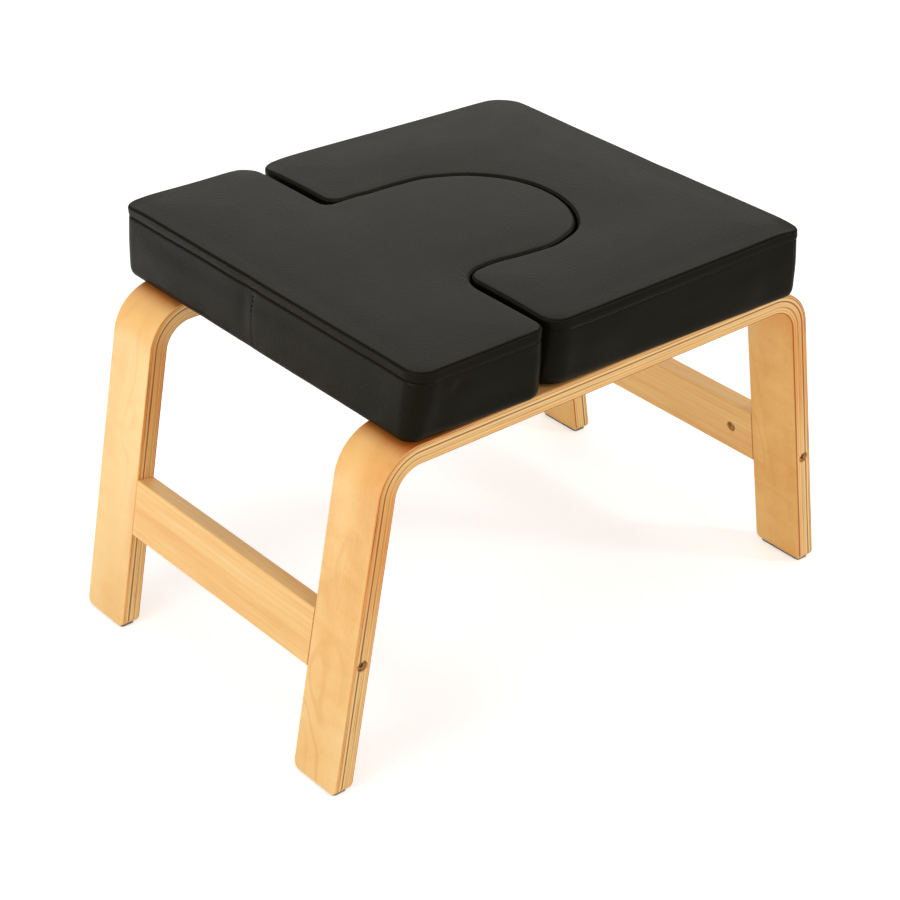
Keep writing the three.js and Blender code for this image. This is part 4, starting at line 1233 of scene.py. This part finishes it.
LACQUER = {"Specular_IOR_Level": 0.38, "Coat_Weight": 0.1, "Coat_Roughness": 0.3}
BIRCH_PALE = linear(252, 213, 146)
BIRCH_MID = linear(247, 197, 123)
BIRCH_DEEP = linear(236, 172, 96)
BIRCH_FLAME = linear(232, 164, 88)
# Painted shade: a warm, faintly darker tint for the strips' inner faces.
INNER_SHADE_TINT = linear(255, 250, 236)
# Painted shade: the pads' shade over the bends, as a warm tint.
BEND_SHADE_TINT = linear(255, 241, 222)
# Painted shadow: the pads' dark contact shadow on the bends and rails.
PAD_SHADOW_TINT = linear(205, 152, 106)
LEG_EDGE_TINT = linear(244, 216, 180)
PLY_PALE = linear(255, 223, 152)
PLY_MID = linear(254, 184, 104)
PLY_DARK = linear(192, 106, 46)
GLUE = linear(124, 62, 24)
GLUE_DARK = linear(76, 38, 18)


def veneer(grain):
    """Birch face figure on unrolled coordinates: soft tone bands and fine fibres run along the
    strip, and faint arcs, the level lines of a stretched noise, cross it in places. Gives colour
    and relief."""
    bands = grain.noise((3.5, 24, 0), 1)
    fibres = grain.noise((22, 560, 0), 3, 0.6)
    field = grain.noise((6.5, 15, 0), 1.4, distortion=0.25, shift=(3.4, 1, 0))
    arcs = (field * 54.0).math("SINE").ranged(0.35, 1.0)
    patch = grain.noise((5, 14, 0), 1, shift=(9, 5, 0)).ranged(0.44, 0.62)
    flame = grain.noise((46, 20, 0), distortion=0.8, shift=(7, 2, 0))
    cloud = grain.noise((5, 18, 0), 1, shift=(1, 9, 0))
    mottle = grain.noise((170, 330, 0))
    pores = grain.noise((300, 3400, 0), 1).ranged(0.66, 0.78)
    tone = bands * 0.44 + fibres * 0.07 + flame * 0.18 + cloud * 0.34 + mottle * 0.09
    colour = tone.ramp((0.42, BIRCH_DEEP), (0.56, BIRCH_MID), (0.72, BIRCH_PALE))
    colour = (arcs * patch * 0.4).mix(colour, BIRCH_FLAME)
    colour = (pores * 0.16).mix(colour, PLY_DARK)
    return colour, fibres * 0.3 - pores * 0.5


def plies(grain):
    """Ply edges on unrolled coordinates: depth over a ply's thickness, a little wavy, gives each
    ply its own tone, darker in every other one, and each glue line its own strength, with a few
    dark open stretches."""
    along, _, depth = grain.axes()
    wander = grain.noise((9, 0, 260), shift=(0, 4, 0))
    layer = depth * (PLIES / (PLY_T * MM)) + (wander * 0.6 - 0.3)
    index = layer.math("FLOOR")
    keyed = grain.node("ShaderNodeCombineXYZ", {0: along * 14.0, 1: index * 3.7, 2: depth * 1100.0})
    streak = keyed.noise(1.0, 4, 0.65)
    tone = index.random() * 0.5 + streak * 0.62 + (index * 0.5).math("FRACT") * 0.64
    colour = tone.ramp((0.38, PLY_DARK), (0.64, PLY_MID), (0.94, PLY_PALE))
    line = abs(layer.math("FRACT") - 0.5).ranged(0.28, 0.46)
    patch = grain.noise((11, 0, 420), 3, shift=(0, 8, 0))
    force = (layer.math("ROUND") + 0.37).random() ** 1.2 * patch.ranged(0.36, 0.64, 0.08, 1.5)
    glue = line.math("MULTIPLY", force, clamp=True)
    opened = line * (force * patch).ranged(0.42, 0.6)
    colour = (glue * 0.85).mix(colour, GLUE)
    return opened.mix(colour, GLUE_DARK), streak - glue - opened


def make_portal_birch():
    """Bent birch plywood under clear satin lacquer: veneer on the faces, plies on the edges. The
    inner faces carry a faint warm painted shade. Tints follow the distance from the rail's middle:
    a light painted shade of the pads round the bends, a darker painted shadow of the pads along
    their ends there, fainter where the rail lies under them, and warmer legs' edges."""
    finish = Finish("lacquered_birch_ply", Roughness=0.42, **LACQUER)
    grain = finish.stored("ply")
    along, across, depth = grain.axes()
    half = PORTAL_GRAIN_APART / 2 * MM
    reach = abs(along.math("WRAP", half, -half))

    def past(start, end, *to):
        return reach.ranged((BEND_X + start) * MM, (BEND_X + end) * MM, *to)

    face, face_relief = veneer(grain)
    side, side_relief = plies(grain)
    face = (along.ranged(-1.0, 1.0) * 0.38).mix(face, BIRCH_PALE)
    # Painted shade: the strips' inner faces are tinted warmer and darker.
    face = depth.ranged(0.009, 0.012).mix(face, INNER_SHADE_TINT, "MULTIPLY")
    # Painted shade of the pads round the bends.
    face = (past(-20, 8) * past(22, 66, 1.0, 0.0)).mix(face, BEND_SHADE_TINT, "MULTIPLY")
    # Painted shadow of the pads at their ends over the bends, fainter under them.
    face = (past(6, 23, 1.0, 0.0) * past(-70, -15, 0.45, 1.0)).mix(face, PAD_SHADOW_TINT, "MULTIPLY")
    side = (past(8, 60) * past(90, 240, 1.0, 0.0)).mix(side, LEG_EDGE_TINT, "MULTIPLY")
    edge = abs(across).ranged((PLY_W / 2 - 1.0) * MM, (PLY_W / 2 - 0.45) * MM)
    smear = grain.noise((22, 40, 40))
    return finish.wear(edge.mix(face, side), smear.ranged(0.3, 0.7, 0.36, 0.5),
                       edge.mix(face_relief, side_relief), 0.00012, 0.35)


def make_stretcher_birch():
    """Solid birch bar: growth rings about a far-off heart, cut lengthwise, with fine fibres."""
    finish = Finish("lacquered_birch_solid", Roughness=0.44, **LACQUER)
    grain = finish.stored("bar")
    x, _, z = grain.axes()
    aside, above = x + 0.052, z + 0.02
    reach = (aside * aside + above * above).math("SQRT")
    phase = reach * 1900.0 + grain.noise((20, 5, 20)) * 17.0
    ring = (phase.math("SINE") * 0.5 + 0.5) ** 2.6
    fibres = grain.noise((620, 15, 620), 3, 0.6)
    bands = grain.noise((70, 4, 70))
    dashes = grain.noise((2600, 240, 2600), 1).ranged(0.62, 0.74)
    tone = bands * 0.6 + fibres * 0.35
    colour = tone.ramp((0.3, BIRCH_DEEP), (0.5, BIRCH_MID), (0.72, BIRCH_PALE))
    colour = (ring * 0.26).mix(colour, BIRCH_DEEP)
    colour = (dashes * 0.2).mix(colour, PLY_DARK)
    return finish.wear(colour, bands.ranged(0.3, 0.7, 0.38, 0.5), fibres * 0.6 - dashes * 0.4,
                       0.00012, 0.35)


def make_peg_wood(name, pale, deep):
    """Plain turned hardwood with its fibres upright."""
    finish = Finish(name, Roughness=0.62)
    fibres = finish.place().noise((900, 900, 40), 3, 0.6)
    bands = finish.place().noise((240, 240, 12), 1)
    colour = (bands * 0.5 + fibres * 0.5).ramp((0.3, deep), (0.7, pale))
    return finish.wear(colour, fibres.ranged(0.3, 0.7, 0.55, 0.7), fibres, 0.0002, 0.4)


def make_leather():
    """Black coated leather: pebbled grain a millimetre across, finer creases between the pebbles,
    slow changes of tone and gloss, and small puckers between the topstitches."""
    finish = Finish("black_coated_leather", Roughness=0.45, Specular_IOR_Level=0.04,
                    Coat_Weight=0.05, Coat_Roughness=0.17)
    place = finish.place()
    pebbles = place.node("ShaderNodeTexVoronoi", {"Vector": place, "Scale": 760.0,
                                                  "Smoothness": 0.6},
                         "Distance", feature="SMOOTH_F1")
    fine = place.noise(1700.0, 3, 0.6)
    along, aside, _ = finish.stored("seam").axes()
    near = abs(aside).ranged(0.0, 0.0022, 1.0, 0.0)
    pucker = near * (along * (2 * math.pi / (STITCH_PITCH * MM))).math("SINE")
    base = place.noise(7.0).ranged(0.35, 0.65).mix(linear(20, 18, 8), linear(24, 21, 10))
    base = place.noise(4.3, 1).ranged(0.48, 0.7, 0.0, 0.5).mix(base, linear(29, 23, 12))
    roughness = fine * 0.06 + place.noise(26.0, 3).ranged(0.3, 0.7, 0.33, 0.355)
    relief = fine * 0.35 - pebbles * 0.9 + pucker * 0.9
    return finish.wear(base, roughness, relief, 0.00026, 0.7)


def make_thread():
    """Black polyester thread, twisted."""
    finish = Finish("black_thread", Roughness=0.6, Specular_IOR_Level=0.05)
    twist = finish.place().noise(2400.0)
    colour = twist.ranged(0.35, 0.65).mix(linear(6, 6, 6), linear(16, 15, 14))
    return finish.wear(colour, twist.ranged(0.3, 0.7, 0.42, 0.6), twist, 0.0002, 0.6)


def make_fibrous(name, dark, pale, scale, sheen):
    """Felt or pressed cloth: matted fibres in two sizes, with a soft sheen."""
    finish = Finish(name, Roughness=0.95, Sheen_Weight=sheen, Sheen_Roughness=0.6)
    mat = finish.place().noise(scale, 4, 0.7, 1.6)
    clumps = finish.place().noise(scale / 9)
    colour = (mat * 0.7 + clumps * 0.3).ramp((0.3, dark), (0.7, pale))
    return finish.wear(colour, mat.ranged(0.3, 0.7, 0.85, 1.0), mat, 0.0004, 0.7)


def make_foam_finish():
    """Cream polyurethane foam: open pores, with slow changes of tone."""
    finish = Finish("cream_foam", Roughness=0.95)
    place = finish.place()
    cells = place.node("ShaderNodeTexVoronoi", {"Vector": place, "Scale": 900.0}, "Distance")
    tone = place.noise(30.0)
    colour = tone.ranged(0.3, 0.7).mix(linear(226, 214, 176), linear(238, 229, 198))
    colour = cells.ranged(0.0, 0.25, 0.35, 0.0).mix(colour, linear(170, 156, 118))
    return finish.wear(colour, tone.ranged(0.3, 0.7, 0.9, 1.0), cells, 0.0006, 0.8)


def make_metal(name, pale, dark, rough):
    """Plated steel: slow tarnish and fine scuffs."""
    finish = Finish(name, Metallic=0.8, Roughness=rough)
    tarnish = finish.place().noise(260.0, 3)
    scuffs = finish.place().noise((2200, 2200, 2200))
    colour = tarnish.ranged(0.35, 0.7).mix(pale, dark)
    roughness = scuffs * 0.16 + tarnish.ranged(0.3, 0.7, rough - 0.1, rough + 0.05)
    return finish.wear(colour, roughness, scuffs, 0.00006, 0.4)


portal_birch = make_portal_birch()
stretcher_birch = make_stretcher_birch()
peg_wood = make_peg_wood("turned_pegs", linear(224, 182, 128), linear(196, 148, 96))
board_wood = make_peg_wood("hidden_boards", linear(206, 162, 108), linear(176, 130, 82))
black_leather = make_leather()
black_thread = make_thread()
cream_foam = make_foam_finish()
dust_cloth = make_fibrous("black_dust_cloth", linear(16, 16, 16), linear(38, 37, 37), 1500.0, 0.15)
grey_felt = make_fibrous("grey_felt", linear(96, 96, 94), linear(158, 156, 150), 1300.0, 0.3)
bronze = make_metal("bronzed_steel", linear(210, 166, 110), linear(128, 90, 50), 0.42)
zinc = make_metal("zinc_steel", linear(200, 198, 192), linear(150, 148, 142), 0.34)


# Stage

def make_stage():
    """Plain white floor. What the camera sees of it is lifted to white; the shadow stays."""
    corners = np.array([(-1, -1, 0), (1, -1, 0), (1, 1, 0), (-1, 1, 0)]) * FLOOR_REACH
    floor = make_piece("floor", corners, [np.array([[0, 1, 2, 3]])], closed=False)
    finish = Finish("floor_white", Roughness=0.9, Specular_IOR_Level=0.0,
                    Base_Color=(0.86, 0.86, 0.86, 1), Emission_Color=(1, 1, 1, 1))
    path = add_node(finish.tree, "ShaderNodeLightPath").outputs
    feed(finish.surface.inputs["Emission Strength"], Value(path["Is Camera Ray"]) * FLOOR_LIFT)
    floor.data.materials.append(finish.material)


def make_world(ambient):
    """White all round for the camera and reflections, and a soft even light for the rest."""
    world = bpy.data.worlds.new("studio")
    bpy.context.scene.world = world
    world.use_nodes = True
    tree = world.node_tree
    path = add_node(tree, "ShaderNodeLightPath").outputs
    seen = Value(path["Is Camera Ray"])
    for other in ("Is Glossy Ray", "Is Transmission Ray"):
        seen = seen.math("MAXIMUM", Value(path[other]))
    background = tree.nodes["Background"]
    background.inputs["Color"].default_value = (1, 1, 1, 1)
    feed(background.inputs["Strength"], seen.ranged(0.0, 1.0, ambient, 1.0))


def make_lamp(name, kind, place, aim, power, **settings):
    """Lamp at a place, facing a point, which the camera doesn't see."""
    lamp = bpy.data.lights.new(name, kind)
    lamp.energy = power
    for key, value in settings.items():
        setattr(lamp, key, value)
    holder = linked(name, lamp)
    holder.location = place
    holder.rotation_euler = (Vector(aim) - Vector(place)).to_track_quat("-Z", "Y").to_euler()
    holder.visible_camera = False


def make_softbox(name, place, aim, size, power, colour=(1, 1, 1)):
    """Square area lamp."""
    make_lamp(name, "AREA", place, aim, power, shape="SQUARE", size=size, color=colour)


def make_camera():
    """Camera at the photograph's place: looking along its azimuth and elevation, with its roll."""
    a, e, roll = CAMERA_AZIMUTH, CAMERA_ELEVATION, CAMERA_ROLL
    back = np.array([math.sin(a) * math.cos(e), -math.cos(a) * math.cos(e), math.sin(e)])
    right = np.cross(-back, (0, 0, 1))
    right /= np.linalg.norm(right)
    up = np.cross(right, -back)
    across = math.cos(roll) * right + math.sin(roll) * up
    above = -math.sin(roll) * right + math.cos(roll) * up
    camera = linked("camera", bpy.data.cameras.new("camera"))
    camera.data.lens = CAMERA_LENS
    camera.data.sensor_width = 36.0
    camera.data.clip_start = 0.05
    camera.data.clip_end = 200.0
    turn = Matrix(np.column_stack([across, above, back]).tolist()).to_4x4()
    camera.matrix_world = Matrix.Translation(CAMERA_PLACE) @ turn
    bpy.context.scene.camera = camera


make_camera()
make_world(0.4)
make_softbox("key", (-2.5, -0.2, 0.75), (0, 0, 0.16), 1.4, 24.0)
make_softbox("fill", (0.2, -2.5, 0.75), (0, 0, 0.2), 1.5, 8.8, (1, 0.93, 0.82))
make_softbox("edge_light", (1.4, -1.65, 1.45), (0, 0, 0.36), 0.3, 10.0)
make_softbox("sheen", (1.5, 1.75, 1.8), (0, 0, 0.38), 1.7, 7.0, (1, 0.96, 0.9))
make_softbox("overhead", (-0.2, -0.1, 2.6), (0, 0, 0.3), 1.6, 15.0)
make_softbox("inside", (-0.12, -0.02, 0.19), (0.3, -0.02, 0.15), 0.14, 0.17)
make_lamp("floor_spot", "SPOT", (-1.3, 1.3, 1.6), (-1.0, 0.98, 0), 255.0,
          spot_size=math.radians(55), spot_blend=0.8, shadow_soft_size=0.12)
make_stage()

make_portal("front", -1)
make_portal("back", 1)
make_stretcher("left", -1)
make_stretcher("right", 1)
make_joint_hardware("left", -1)
make_joint_hardware("right", 1)
make_feet()
make_pad("u_pad", "stool", arms_corners(), (PAD_END_X, -20))
make_pad("t_pad", "t_pad", seat_corners(), (-PAD_END_X, 20))
make_fixings()

for node_name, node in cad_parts.items():
    for kind, material in (("dowel", board_wood), ("tee_nut", zinc)):
        if kind in node_name:
            node.data.materials.clear()
            node.data.materials.append(material)

bpy.context.scene.view_settings.view_transform = "Standard"
